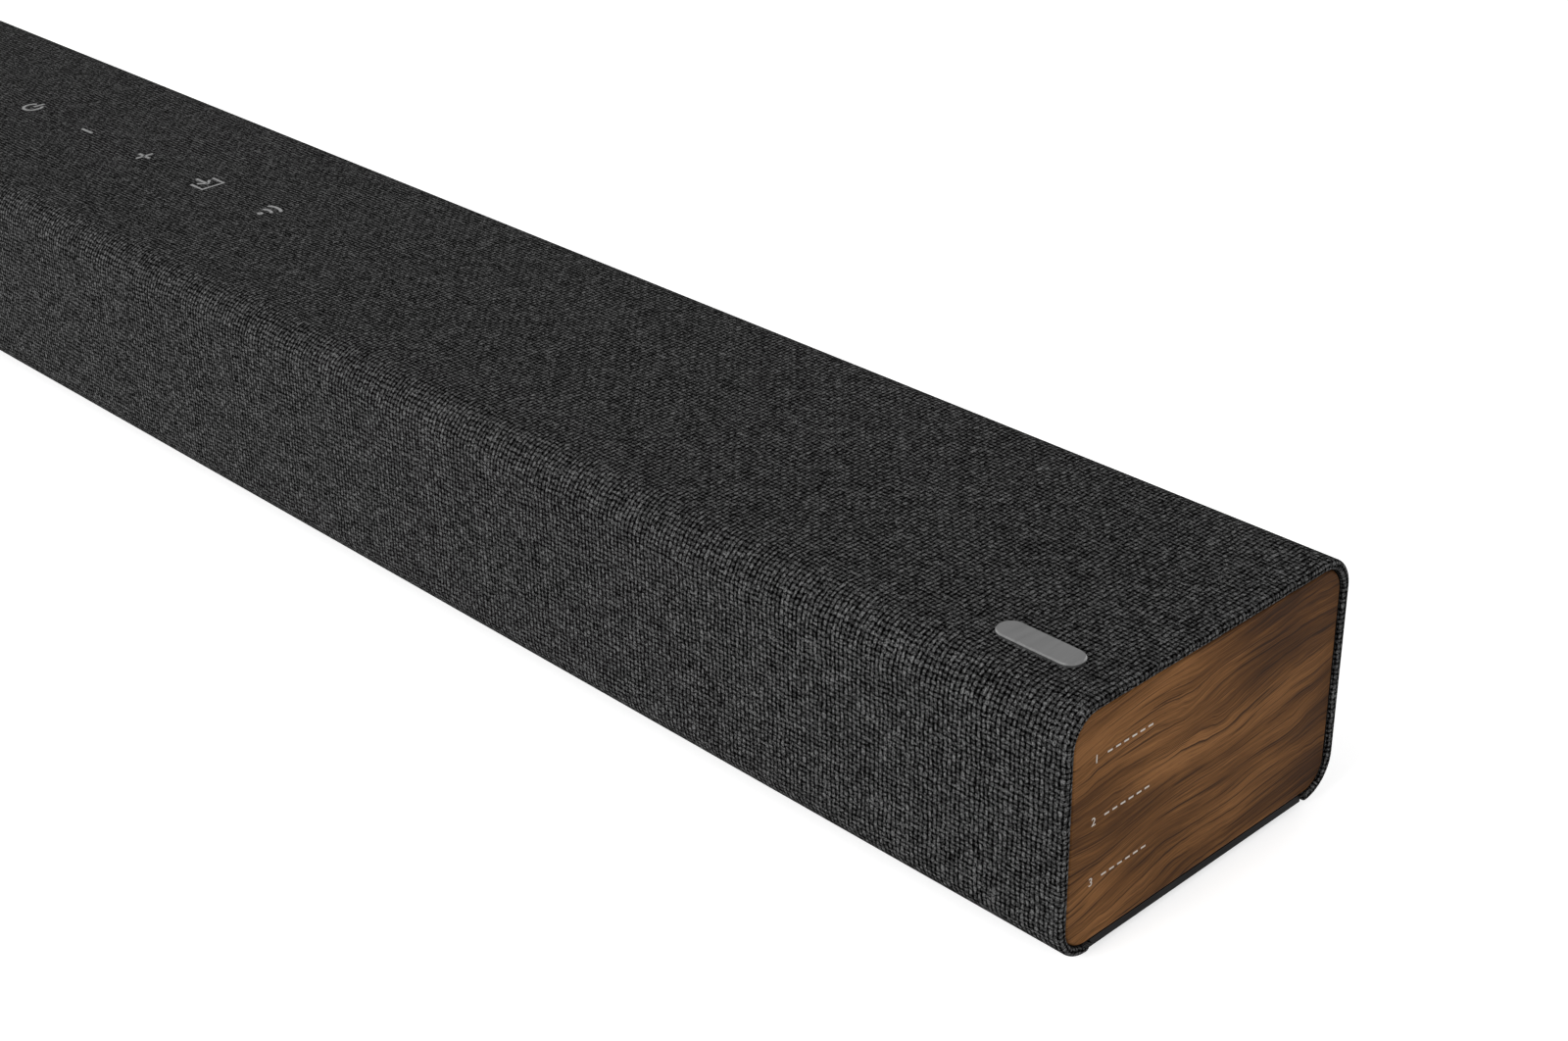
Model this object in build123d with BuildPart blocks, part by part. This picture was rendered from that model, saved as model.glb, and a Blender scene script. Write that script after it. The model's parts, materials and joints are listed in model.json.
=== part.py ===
from build123d import *
from collections import namedtuple
import os

# Fabric-wrapped soundbar with wood end panels.
# Millimetres. The origin is on the standing surface, under the middle of the bar.
# X runs along the bar, the front faces -Y and Z is up.

os.makedirs("parts", exist_ok=True)

# Overall sizes
LENGTH = 890.0
DEPTH = 96.0
BODY_HEIGHT = 62.0
FOOT_HEIGHT = 1.5
BODY_RADIUS = 9.5

# Clearances
FIT = 0.3
SCREW_GAP = 0.05
GLUE = 0.05

# Wrapped sleeve
FABRIC = 0.9
SHELL_WALL = 1.6
LIP_WALL = 1.1
LIP = 10.0

# Wood end panels and the carriers behind them
PANEL = 5.0
PANEL_RECESS = 0.6
PANEL_GAP = 0.2
PANEL_EDGE = 0.8
CARRIER = 2.5
SKIRT = 9.0
SKIRT_WALL = 2.0
PEG_RADIUS = 2.5
PEG = 3.0
PEG_SPACING = 60.0
CARRIER_BOSS = 8.0
CARRIER_BOSS_SPACING = 50.0

# Bottom tray, feet and wall bracket inserts
DECK = 2.0
DECK_OVERLAP = 2.0
FOOT_LENGTH = 40.0
FOOT_WIDTH = 12.0
FOOT_CORNER = 3.0
FOOT_INLAY = 1.0
FOOT_FROM_END = 60.0
FOOT_FROM_LIP = 14.0
INSERT_RADIUS = 3.0
INSERT_BORE = 1.65
BRACKET_SPACING = 600.0
RIB = 2.0
RIB_HEIGHT = 3.0

# Screws
TRAY_SCREW = 1.4
TRAY_HEAD_RADIUS = 2.7
TRAY_HEAD = 1.6
TRAY_SIDES = 12
HEAD_SUNK = 0.2
SCREW_BITE = 6.0
BOSS_RADIUS = 4.0
BOSS_CAP = 2.0
SMALL_SCREW = 1.1
SMALL_HEAD_RADIUS = 2.2
SMALL_HEAD = 1.3
SMALL_BITE = 6.0
SMALL_BOSS = 3.0
SMALL_SIDES = 8

# Touch-through keys on the top
KEY_NAMES = ("power", "volume_down", "volume_up", "source", "pairing")
KEY_PITCH = 33.8
FIRST_KEY_X = -33.8
KEY_LENGTH = 14.0
KEY_WIDTH = 9.0
KEY_CORNER = 1.5
KEY_UNDER_FABRIC = 0.3
KEY_FLANGE = 1.2
KEY_FLANGE_EDGE = 1.5
KEY_STOP_GAP = 0.1
KEY_STEM = 4.0
KEY_TRAVEL = 0.5
KEY_SPARE = 0.5
GUIDE_PLATE = 1.5
GUIDE_WALL = 1.5
GUIDE_WIDTH = 20.0
GUIDE_END = 14.0
STEM_BELOW_GUIDE = 1.0
BUTTON = 2.4
BUTTON_HEIGHT = 1.6
BUTTON_SHOWN = 1.0
SWITCH = 6.0
SWITCH_HEIGHT = 3.3
BOARD = 1.6

# Rear connector bay
BAY_WIDTH = 176.0
BAY_HEIGHT = 24.0
BAY_DEPTH = 10.0
BAY_CORNER = 4.0
BAY_RIM = 4.0
BAY_WALL = 2.0
BAY_FLOOR = 2.0
BAY_SUNK = 0.2
SOCKET_PROUD = 0.4
POST_SPACING = 164.0
POST_WIDTH = 8.0
POST_DEPTH = 7.0

# Circuit boards
BOARD_HEIGHT = 20.4
BOARD_DEPTH = 26.0
BOARD_INSET = 4.0
BOARD_SPAN = 244.0
BOARD_SPLIT = -18.0
BOARD_SPACING = 4.0
STANDOFF_RADIUS = 3.2
SOCKET_RISE = 4.0
CHIP = 12.0
CHIP_HEIGHT = 1.5
CHIP_X = 30.0
CHIP_FROM_BOARD_FRONT = 9.0
AMPLIFIER_X = 90.0
PLUG_HOUSING = 6.0
PLUG_HOUSING_HEIGHT = 5.0
HEATSINK_LENGTH = 26.0
HEATSINK_WIDTH = 14.0
HEATSINK_BASE = 3.0
HEATSINK_HEIGHT = 15.0
HEATSINK_FINS = 6
HEATSINK_FIN = 1.5
MODULE_LENGTH = 12.0
MODULE_WIDTH = 12.0
MODULE_BOARD = 1.0
MODULE_CAN = 2.2
MODULE_EDGE = 2.0
MODULE_X = 8.0

# Sockets on the back edge of the boards
HDMI_PLACES = (22.0, 44.0)
HDMI_WIDTH = 15.0
HDMI_HEIGHT = 5.6
HDMI_DEPTH = 12.0
HDMI_BEVEL = 1.6
HDMI_TONGUE_WIDTH = 10.0
HDMI_TONGUE = 1.2
USB_X = 66.0
USB_WIDTH = 13.2
USB_HEIGHT = 6.4
USB_DEPTH = 14.0
USB_TONGUE_WIDTH = 11.0
USB_TONGUE = 1.8
USB_TONGUE_RISE = 0.9
SOCKET_WALL = 0.5
SOCKET_BACK = 2.0
TONGUE_SET_BACK = 2.0
OPTICAL_X = 0.0
OPTICAL_SIZE = 10.0
OPTICAL_DEPTH = 13.5
OPTICAL_HOLE = 8.0
OPTICAL_HOLE_DEPTH = 9.0
MAINS_X = -60.0
MAINS_WIDTH = 20.0
MAINS_HEIGHT = 13.0
MAINS_DEPTH = 16.0
MAINS_RECESS_WIDTH = 16.0
MAINS_RECESS_HEIGHT = 8.4
MAINS_RECESS_DEPTH = 12.0
PIN_RADIUS = 1.2
PIN_SPACING = 8.6
PIN_SET_BACK = 2.0

# Large parts of the power board
TRANSFORMER_X = -37.0
TRANSFORMER_LENGTH = 20.0
TRANSFORMER_WIDTH = 16.0
TRANSFORMER_HEIGHT = 22.0
TRANSFORMER_CORE = 5.0
TRANSFORMER_FROM_BOARD_BACK = 9.5
WINDING_INSET = 2.0
CAPACITOR_X = -104.0
CAPACITOR_RADIUS = 7.5
CAPACITOR_HEIGHT = 25.0
CAPACITOR_FROM_BOARD_BACK = 9.5

# Loudspeaker boxes
DRIVER_ROOM = 7.5
BACK_ROOM = 3.5
BOX_AIR = 2.0
BAFFLE = 3.0
BOX_WALL = 2.5
LID = 3.0
LID_STEP = 2.0
BOX_FROM_CARRIER = 13.0
BOX_SPACING = 14.0
BOX_SCREW_FROM_END = 40.0
WOOFER_BOX = 252.0
WOOFER_BOX_GAP = 5.5
KEY_ROOM = 1.8

# Loudspeaker drivers
FULL_RANGE_WIDTH = 78.0
FULL_RANGE_HEIGHT = 46.0
FULL_RANGE_COIL = 8.0
FULL_RANGE_MAGNET = 15.5
FULL_RANGE_FROM_BOX_END = 85.0
WOOFER_WIDTH = 124.0
WOOFER_HEIGHT = 42.0
WOOFER_COIL = 9.0
WOOFER_MAGNET = 16.5
GASKET = 0.8
GASKET_WIDTH = 2.2
FLANGE = 1.2
FLANGE_RIM = 4.0
FLANGE_CORNER = 8.0
DRIVER_SCREW_INSET = 5.0
BASKET_WALL = 1.2
BASKET_DEPTH = 12.0
BASKET_HALF = 15.0
TOP_PLATE = 2.5
MAGNET = 8.0
YOKE = 3.0
COIL_WALL = 0.5
COIL_GAP = 0.6
COIL_BELOW_PLATE = 1.5
MAGNET_BORE_GAP = 3.0
YOKE_STEP = 1.0
SURROUND_WIDTH = 5.0
SURROUND = 0.5
SURROUND_ROLL = 2.0
SURROUND_LIP = 2.0
CONE = 0.8
CONE_DEPTH = 4.0
CONE_TAPER = 25.0
CAP_HEIGHT = 1.6
SPIDER_RADIUS = 14.0
SPIDER_LEDGE = 2.0
SPIDER = 0.6
SPIDER_RISE = 3.2
TERMINAL = 8.0
PORT_WIDTH = 22.0
PORT_HEIGHT = 30.0
PORT_WALL = 1.5
PORT_LENGTH = 30.0
PORT_FLANGE = 2.5
PORT_FROM_END = 22.0

# Grille slots
SLOT_LENGTH = 14.0
SLOT_HEIGHT = 3.2
SLOT_PITCH_X = 18.0
SLOT_PITCH_Z = 6.4
SLOT_ROWS = 6
FULL_RANGE_SLOTS = 5
WOOFER_SLOTS = 10
WOOFER_SLOTS_X = 26.0

# Indicators at the right of the front
INDICATOR_FROM_END = 15.0
INDICATOR_ABOVE_WOOD = (15.5, 30.5, 45.6)
INDICATOR_BOARD_WIDTH = 12.0
INDICATOR_BOARD_HEIGHT = 46.0
INDICATOR_BOARD_FROM_FRONT = 10.0
PIPE_WIDTH = 6.0
PIPE_HEIGHT = 3.0
PIPE_WEB = 1.5
PIPE_UNDER_FABRIC = 0.5
LED_WIDTH = 3.2
LED_HEIGHT = 2.8
LED = 1.2
LED_GAP = 0.3
GUIDE_LEG = 1.6
GUIDE_LEG_HEIGHT = 6.0
GUIDE_LEG_SPACING = 10.0
RECEIVER_WIDTH = 5.0
RECEIVER_DEPTH = 3.5
RECEIVER_LENS = 1.8
RECEIVER_ABOVE_WOOD = 10.0

# Badge on the top
BADGE_LENGTH = 22.4
BADGE_WIDTH = 7.0
BADGE_HEIGHT = 0.8
BADGE_EDGE = 0.3
BADGE_FROM_END = 22.0
BADGE_FROM_FRONT = 17.2

# Inner leads
LEAD_WIDTH = 3.2
LEAD_HEIGHT = 1.6
LEAD_RISE = 3.0
LEAD_BEND = 25.0
LEAD_FROM_BOARD_FRONT = 4.5
LEAD_FROM_BOARD_END = 13.0
RIBBON_WIDTH = 12.0
RIBBON = 0.4
RIBBON_X = 55.0
RIBBON_FROM_BOARD_FRONT = 3.0
RIBBON_FROM_KEY_EDGE = 3.0
RIBBON_BEND = 0.6

# Section of the sleeve
rim = FABRIC + SHELL_WALL
lip_rim = FABRIC + LIP_WALL
body_top = FOOT_HEIGHT + BODY_HEIGHT
inside_top = body_top - rim
inside_bottom = FOOT_HEIGHT + lip_rim
inside_half = DEPTH / 2 - rim
lip_edge = DEPTH / 2 - LIP
shell_half = LENGTH / 2 - FABRIC

# Stations along the bar
panel_outer = LENGTH / 2 - PANEL_RECESS
panel_inner = panel_outer - PANEL
carrier_inner = panel_inner - CARRIER
skirt_inner = carrier_inner - SKIRT
box_outer = skirt_inner - BOX_FROM_CARRIER
box_inner = WOOFER_BOX / 2 + BOX_SPACING
full_range_x = box_outer - FULL_RANGE_FROM_BOX_END
indicator_x = LENGTH / 2 - INDICATOR_FROM_END

# Heights
deck_bottom = inside_bottom + FIT
deck_top = deck_bottom + DECK
board_top = BOARD_HEIGHT + BOARD
bay_z = board_top + SOCKET_RISE
key_top = body_top - FABRIC - KEY_UNDER_FABRIC
flange_top = inside_top - KEY_STOP_GAP
flange_bottom = flange_top - KEY_FLANGE
guide_top = flange_bottom - KEY_TRAVEL - KEY_SPARE
guide_bottom = guide_top - GUIDE_PLATE
stem_bottom = guide_bottom - STEM_BELOW_GUIDE
switch_top = stem_bottom - GLUE - BUTTON_SHOWN
key_board_top = switch_top - SWITCH_HEIGHT
key_board_bottom = key_board_top - BOARD
box_top = inside_top - BOX_AIR
woofer_box_top = key_board_bottom - KEY_ROOM

# Distances from the bar's middle plane, forwards for the drivers and backwards for the boards
baffle_front = inside_half - DRIVER_ROOM
box_back = inside_half - BACK_ROOM
flange_back = baffle_front + GASKET
flange_front = flange_back + FLANGE
plate_front = flange_back - BASKET_DEPTH
plate_back = plate_front - TOP_PLATE
magnet_back = plate_back - MAGNET
cone_back = flange_front - CONE_DEPTH
spider_back = plate_front + SPIDER_RISE
bay_floor = DEPTH / 2 - BAY_DEPTH
board_back = bay_floor - BAY_FLOOR - FIT
board_front = board_back - BOARD_DEPTH
woofer_box_back = board_front - WOOFER_BOX_GAP
indicator_front = inside_half - INDICATOR_BOARD_FROM_FRONT

SIDES = (("left", -1), ("right", 1))

Driver = namedtuple("Driver", "name x z width height coil magnet")
FULL_RANGE_SIZES = (FULL_RANGE_WIDTH, FULL_RANGE_HEIGHT, FULL_RANGE_COIL, FULL_RANGE_MAGNET)
WOOFER_SIZES = (WOOFER_WIDTH, WOOFER_HEIGHT, WOOFER_COIL, WOOFER_MAGNET)
full_range_z = (deck_top + box_top) / 2
woofer_z = (deck_top + woofer_box_top) / 2
DRIVERS = (
    Driver("full_range_cone_left", -full_range_x, full_range_z, *FULL_RANGE_SIZES),
    Driver("full_range_cone_right", full_range_x, full_range_z, *FULL_RANGE_SIZES),
    Driver("woofer_cone", 0.0, woofer_z, *WOOFER_SIZES),
)

key_places = {name: FIRST_KEY_X + index * KEY_PITCH for index, name in enumerate(KEY_NAMES)}
foot_places = [
    (x_sign * (LENGTH / 2 - FOOT_FROM_END), y_sign * (lip_edge - FOOT_FROM_LIP))
    for x_sign in (-1, 1)
    for y_sign in (-1, 1)
]
carrier_screw_places = [
    (side * (carrier_inner - CARRIER_BOSS / 2), y_sign * CARRIER_BOSS_SPACING / 2)
    for _, side in SIDES
    for y_sign in (-1, 1)
]
box_screw_places = [
    (side * x, 0)
    for _, side in SIDES
    for x in (box_inner + BOX_SCREW_FROM_END, box_outer - BOX_SCREW_FROM_END)
]
woofer_screw_y = (woofer_box_back - baffle_front) / 2
woofer_screw_places = [
    (side * (WOOFER_BOX / 2 - BOX_SCREW_FROM_END), woofer_screw_y) for _, side in SIDES
]
tray_screw_places = carrier_screw_places + box_screw_places + woofer_screw_places
insert_places = [(side * BRACKET_SPACING / 2, 0) for _, side in SIDES]

# Each board's left end and right end
main_board_ends = (BOARD_SPLIT + BOARD_SPACING / 2, BOARD_SPAN / 2)
power_board_ends = (-BOARD_SPAN / 2, BOARD_SPLIT - BOARD_SPACING / 2)
board_hole_places = [
    (x, y)
    for ends in (main_board_ends, power_board_ends)
    for x in (ends[0] + BOARD_INSET, ends[1] - BOARD_INSET)
    for y in (board_front + BOARD_INSET, board_back - BOARD_INSET)
]
post_places = [(side * POST_SPACING / 2, bay_floor - BAY_FLOOR - POST_DEPTH / 2) for _, side in SIDES]
key_screw_places = [
    (middle, y_sign * (GUIDE_WIDTH / 2 - SMALL_BOSS))
    for middle in (
        (key_places["power"] + key_places["volume_down"]) / 2,
        (key_places["source"] + key_places["pairing"]) / 2,
    )
    for y_sign in (-1, 1)
]
lead_y = board_front + LEAD_FROM_BOARD_FRONT
lead_z = board_top + LEAD_RISE
indicator_heights = [inside_bottom + height for height in INDICATOR_ABOVE_WOOD]
receiver_z = inside_bottom + RECEIVER_ABOVE_WOOD
indicator_middle = indicator_heights[1]
arm_heights = [(low + high) / 2 for low, high in zip(indicator_heights, indicator_heights[1:])]
arm_places = [(indicator_x, height) for height in arm_heights]


def body_outline(side_inset, bottom_inset, mode=Mode.ADD):
    """Rounded section of the bar on a YZ plane, drawn in from the fabric's outer face."""
    height = BODY_HEIGHT - side_inset - bottom_inset
    with Locations((0, FOOT_HEIGHT + bottom_inset + height / 2)):
        RectangleRounded(DEPTH - 2 * side_inset, height, BODY_RADIUS - side_inset, mode=mode)


def bottom_gap(half_width, mode=Mode.SUBTRACT):
    """The gap between the lips that turn under the bottom, on a YZ plane."""
    with Locations((0, FOOT_HEIGHT)):
        Rectangle(2 * half_width, 2 * lip_rim, mode=mode)


def shell_section():
    """C-section of the moulded shell, on a YZ plane."""
    body_outline(FABRIC, FABRIC)
    body_outline(rim, lip_rim, Mode.SUBTRACT)
    bottom_gap(lip_edge + FABRIC)


def bay_outline(margin, mode=Mode.ADD):
    """Rounded outline of the connector bay, on an XZ plane, with a margin round it."""
    with Locations((0, bay_z)):
        RectangleRounded(
            BAY_WIDTH + 2 * margin, BAY_HEIGHT + 2 * margin, BAY_CORNER + margin, mode=mode
        )


def indicator_windows():
    """Windows for the light guide's pipes and the remote receiver, on an XZ plane."""
    with Locations(*[(indicator_x, height) for height in indicator_heights]):
        Rectangle(PIPE_WIDTH + 2 * FIT, PIPE_HEIGHT + 2 * FIT)
    with Locations((indicator_x, receiver_z)):
        Rectangle(RECEIVER_WIDTH, RECEIVER_WIDTH)


def opening_size(driver, margin=0.0):
    """Width and height of a driver's racetrack opening, with a margin round it."""
    return (
        driver.width - 2 * FLANGE_RIM + 2 * margin,
        driver.height - 2 * FLANGE_RIM + 2 * margin,
    )


def driver_screws_at(driver):
    """Where a driver's four screws stand, on an XZ plane."""
    return [
        (driver.x + x_sign * (driver.width / 2 - DRIVER_SCREW_INSET),
         driver.z + z_sign * (driver.height / 2 - DRIVER_SCREW_INSET))
        for x_sign in (-1, 1)
        for z_sign in (-1, 1)
    ]


# Moulded shell: slotted in front of the drivers, open for the keys, indicators and connector bay
with BuildPart() as grille_shell:
    with BuildSketch(Plane.YZ.offset(-shell_half)):
        shell_section()
    extrude(amount=2 * shell_half)
    with BuildSketch(Plane.XZ.offset(DEPTH / 2)):
        with Locations((-full_range_x, full_range_z), (full_range_x, full_range_z)):
            with GridLocations(SLOT_PITCH_X, SLOT_PITCH_Z, FULL_RANGE_SLOTS, SLOT_ROWS):
                Rectangle(SLOT_LENGTH, SLOT_HEIGHT)
        with Locations((WOOFER_SLOTS_X, full_range_z)):
            with GridLocations(SLOT_PITCH_X, SLOT_PITCH_Z, WOOFER_SLOTS, SLOT_ROWS):
                Rectangle(SLOT_LENGTH, SLOT_HEIGHT)
        indicator_windows()
    extrude(amount=-2 * rim, mode=Mode.SUBTRACT)
    with BuildSketch(Plane.XY.offset(body_top)):
        with Locations(*[(x, 0) for x in key_places.values()]):
            Rectangle(KEY_LENGTH + 2 * FIT, KEY_WIDTH + 2 * FIT)
    extrude(amount=-2 * rim, mode=Mode.SUBTRACT)
    with BuildSketch(Plane.XZ.offset(-DEPTH / 2)):
        bay_outline(BAY_RIM + FIT)
    extrude(amount=2 * rim, mode=Mode.SUBTRACT)
    with BuildSketch(Plane.XY.offset(guide_top)):
        with Locations(*key_screw_places):
            RegularPolygon(SMALL_BOSS, SMALL_SIDES)
    extrude(amount=inside_top - guide_top)
    with BuildSketch(Plane.XY.offset(guide_top)):
        with Locations(*key_screw_places):
            RegularPolygon(SMALL_SCREW + SCREW_GAP, SMALL_SIDES)
    extrude(amount=inside_top - guide_top, mode=Mode.SUBTRACT)
grille_shell.part.label = "grille_shell"
export_step(grille_shell.part, "parts/grille_shell.step")

# Fabric stretched over the shell and turned in round its ends and lips
with BuildPart() as fabric_cover:
    with BuildSketch(Plane.YZ.offset(-LENGTH / 2)):
        body_outline(0, 0)
    extrude(amount=LENGTH)
    fillet(fabric_cover.faces().filter_by(Axis.X).edges(), FABRIC)
    with BuildSketch(Plane.YZ.offset(-LENGTH / 2)):
        body_outline(rim, lip_rim)
        bottom_gap(lip_edge, Mode.ADD)
    extrude(amount=LENGTH, mode=Mode.SUBTRACT)
    with BuildSketch(Plane.YZ.offset(-shell_half)):
        shell_section()
    extrude(amount=2 * shell_half, mode=Mode.SUBTRACT)
    with BuildSketch(Plane.XZ.offset(-DEPTH / 2)):
        bay_outline(BAY_RIM + FIT)
    extrude(amount=2 * rim, mode=Mode.SUBTRACT)
fabric_cover.part.label = "fabric_cover"
export_step(fabric_cover.part, "parts/fabric_cover.step")

# Blank badge bonded to the fabric
with BuildPart() as badge:
    with BuildSketch(Plane.XY.offset(body_top)):
        with Locations((LENGTH / 2 - BADGE_FROM_END, BADGE_FROM_FRONT - DEPTH / 2)):
            SlotOverall(BADGE_LENGTH, BADGE_WIDTH)
    extrude(amount=BADGE_HEIGHT)
    chamfer(badge.faces().sort_by(Axis.Z)[-1].edges(), BADGE_EDGE)
badge.part.label = "badge"
export_step(badge.part, "parts/badge.step")

# Bottom tray: a floor that shows from below and a deck that runs over the sleeve's lips
with BuildPart() as base_tray:
    with BuildSketch(Plane.XY.offset(FOOT_HEIGHT)):
        Rectangle(2 * shell_half, 2 * (lip_edge - FIT))
    extrude(amount=lip_rim)
    with BuildSketch(Plane.XY.offset(inside_bottom)):
        Rectangle(2 * (carrier_inner - FIT), 2 * (lip_edge - FIT))
    extrude(amount=deck_top - inside_bottom)
    with BuildSketch(Plane.YZ.offset(FIT - carrier_inner)):
        body_outline(rim + FIT, lip_rim + FIT)
        with Locations((0, (deck_bottom + deck_top) / 2)):
            Rectangle(2 * (lip_edge + DECK_OVERLAP), DECK, mode=Mode.INTERSECT)
    extrude(amount=2 * (carrier_inner - FIT))
    with BuildSketch(Plane.XY.offset(deck_top)):
        with Locations(*board_hole_places):
            RegularPolygon(STANDOFF_RADIUS, SMALL_SIDES)
    extrude(amount=BOARD_HEIGHT - deck_top)
    with BuildSketch(Plane.XY.offset(deck_top)):
        with Locations(*post_places):
            Rectangle(POST_WIDTH, POST_DEPTH)
    extrude(amount=bay_z + POST_WIDTH / 2 - deck_top)
    with BuildSketch(Plane.XY.offset(deck_top)):
        with GridLocations(2 * (WOOFER_BOX / 2 + BOX_SPACING / 2), 1, 2, 1):
            Rectangle(RIB, 2 * (lip_edge - FIT))
    extrude(amount=RIB_HEIGHT)
    with BuildSketch(Plane.XY.offset(BOARD_HEIGHT)):
        with Locations(*board_hole_places):
            RegularPolygon(SMALL_SCREW + SCREW_GAP, SMALL_SIDES)
    extrude(amount=-SMALL_BITE, mode=Mode.SUBTRACT)
    with BuildSketch(Plane.XZ.offset(BAY_FLOOR - bay_floor)):
        with Locations(*[(x, bay_z) for x, _ in post_places]):
            RegularPolygon(SMALL_SCREW + SCREW_GAP, SMALL_SIDES)
    extrude(amount=SMALL_BITE, mode=Mode.SUBTRACT)
    with BuildSketch(Plane.XY.offset(FOOT_HEIGHT)) as foot_pockets:
        with Locations(*foot_places):
            Rectangle(FOOT_LENGTH + 2 * FIT, FOOT_WIDTH + 2 * FIT)
        chamfer(foot_pockets.vertices(), FOOT_CORNER)
    extrude(amount=FOOT_INLAY, mode=Mode.SUBTRACT)
    with Locations(*[(x, y, deck_top) for x, y in insert_places]):
        Hole(INSERT_RADIUS + SCREW_GAP)
    with BuildSketch(Plane.XY.offset(FOOT_HEIGHT)):
        with Locations(*tray_screw_places):
            RegularPolygon(TRAY_HEAD_RADIUS + FIT, TRAY_SIDES)
    extrude(amount=TRAY_HEAD + HEAD_SUNK, mode=Mode.SUBTRACT)
    with BuildSketch(Plane.XY.offset(FOOT_HEIGHT)):
        with Locations(*tray_screw_places):
            RegularPolygon(TRAY_SCREW + SCREW_GAP, TRAY_SIDES)
    extrude(amount=deck_top - FOOT_HEIGHT, mode=Mode.SUBTRACT)
base_tray.part.label = "base_tray"
export_step(base_tray.part, "parts/base_tray.step")

with BuildPart() as rubber_feet:
    with BuildSketch() as foot_pads:
        with Locations(*foot_places):
            Rectangle(FOOT_LENGTH, FOOT_WIDTH)
        chamfer(foot_pads.vertices(), FOOT_CORNER)
    extrude(amount=FOOT_HEIGHT + FOOT_INLAY)
rubber_feet.part.label = "rubber_feet"
export_step(rubber_feet.part, "parts/rubber_feet.step")

# Threaded inserts for a wall bracket, pressed up into the tray
with BuildPart() as bracket_inserts:
    with BuildSketch(Plane.XY.offset(FOOT_HEIGHT)):
        with Locations(*insert_places):
            Circle(INSERT_RADIUS)
            Circle(INSERT_BORE, mode=Mode.SUBTRACT)
    extrude(amount=deck_top - FOOT_HEIGHT)
bracket_inserts.part.label = "bracket_inserts"
export_step(bracket_inserts.part, "parts/bracket_inserts.step")

with BuildPart() as tray_screws:
    with BuildSketch(Plane.XY.offset(FOOT_HEIGHT + HEAD_SUNK)):
        with Locations(*tray_screw_places):
            RegularPolygon(TRAY_HEAD_RADIUS, TRAY_SIDES)
    extrude(amount=TRAY_HEAD)
    with BuildSketch(Plane.XY.offset(FOOT_HEIGHT + HEAD_SUNK + TRAY_HEAD)):
        with Locations(*tray_screw_places):
            RegularPolygon(TRAY_SCREW, TRAY_SIDES)
    extrude(amount=deck_top + SCREW_BITE - FOOT_HEIGHT - HEAD_SUNK - TRAY_HEAD)
tray_screws.part.label = "tray_screws"
export_step(tray_screws.part, "parts/tray_screws.step")

# Wood end panels and the moulded carriers that hold them
for side_name, side in SIDES:
    with BuildPart() as end_panel:
        with BuildSketch(Plane.YZ.offset(side * panel_inner)):
            body_outline(rim + PANEL_GAP, lip_rim + PANEL_GAP)
        extrude(amount=side * PANEL)
        fillet(end_panel.faces().sort_by(Axis.X)[-1 if side > 0 else 0].edges(), PANEL_EDGE)
        with BuildSketch(Plane.YZ.offset(side * panel_inner)):
            with Locations((0, (inside_top + inside_bottom) / 2)):
                with GridLocations(PEG_SPACING, 1, 2, 1):
                    RegularPolygon(PEG_RADIUS + SCREW_GAP, SMALL_SIDES)
        extrude(amount=side * (PEG + FIT), mode=Mode.SUBTRACT)
    end_panel.part.label = f"end_panel_{side_name}"
    export_step(end_panel.part, f"parts/end_panel_{side_name}.step")

    with BuildPart() as end_carrier:
        with BuildSketch(Plane.YZ.offset(side * carrier_inner)):
            body_outline(rim + FIT, lip_rim + FIT)
        extrude(amount=side * CARRIER)
        with BuildSketch(Plane.YZ.offset(side * skirt_inner)):
            body_outline(rim + FIT, lip_rim + FIT)
            body_outline(rim + FIT + SKIRT_WALL, lip_rim + FIT + SKIRT_WALL, Mode.SUBTRACT)
            with Locations((0, inside_bottom)):
                Rectangle(DEPTH, 2 * (deck_top - inside_bottom), mode=Mode.SUBTRACT)
        extrude(amount=side * SKIRT)
        with BuildSketch(Plane.XY.offset(deck_top)):
            with Locations(*[place for place in carrier_screw_places if place[0] * side > 0]):
                Rectangle(CARRIER_BOSS, CARRIER_BOSS)
        extrude(amount=SCREW_BITE + BOSS_CAP)
        with BuildSketch(Plane.YZ.offset(side * panel_inner)):
            with Locations((0, (inside_top + inside_bottom) / 2)):
                with GridLocations(PEG_SPACING, 1, 2, 1):
                    RegularPolygon(PEG_RADIUS, SMALL_SIDES)
        extrude(amount=side * PEG)
        with BuildSketch(Plane.XY.offset(deck_top)):
            with Locations(*[place for place in carrier_screw_places if place[0] * side > 0]):
                RegularPolygon(TRAY_SCREW + SCREW_GAP, TRAY_SIDES)
        extrude(amount=SCREW_BITE + SCREW_GAP, mode=Mode.SUBTRACT)
        if side > 0:
            # Two arms carry the indicator board, and the skirt is pierced for its light guide
            with BuildSketch(Plane.XZ.offset(indicator_front - BOARD)):
                with Locations(*[(carrier_inner, height) for height in arm_heights]):
                    Rectangle(
                        carrier_inner - indicator_x + INDICATOR_BOARD_WIDTH / 2,
                        2 * SMALL_BOSS,
                        align=(Align.MAX, Align.CENTER),
                    )
                with Locations(*arm_places):
                    RegularPolygon(SMALL_SCREW + SCREW_GAP, SMALL_SIDES, mode=Mode.SUBTRACT)
            extrude(amount=-SMALL_BITE)
            with BuildSketch(Plane.XZ.offset(inside_half)):
                indicator_windows()
            extrude(amount=-(FIT + SKIRT_WALL), mode=Mode.SUBTRACT)
    end_carrier.part.label = f"end_carrier_{side_name}"
    export_step(end_carrier.part, f"parts/end_carrier_{side_name}.step")

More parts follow.
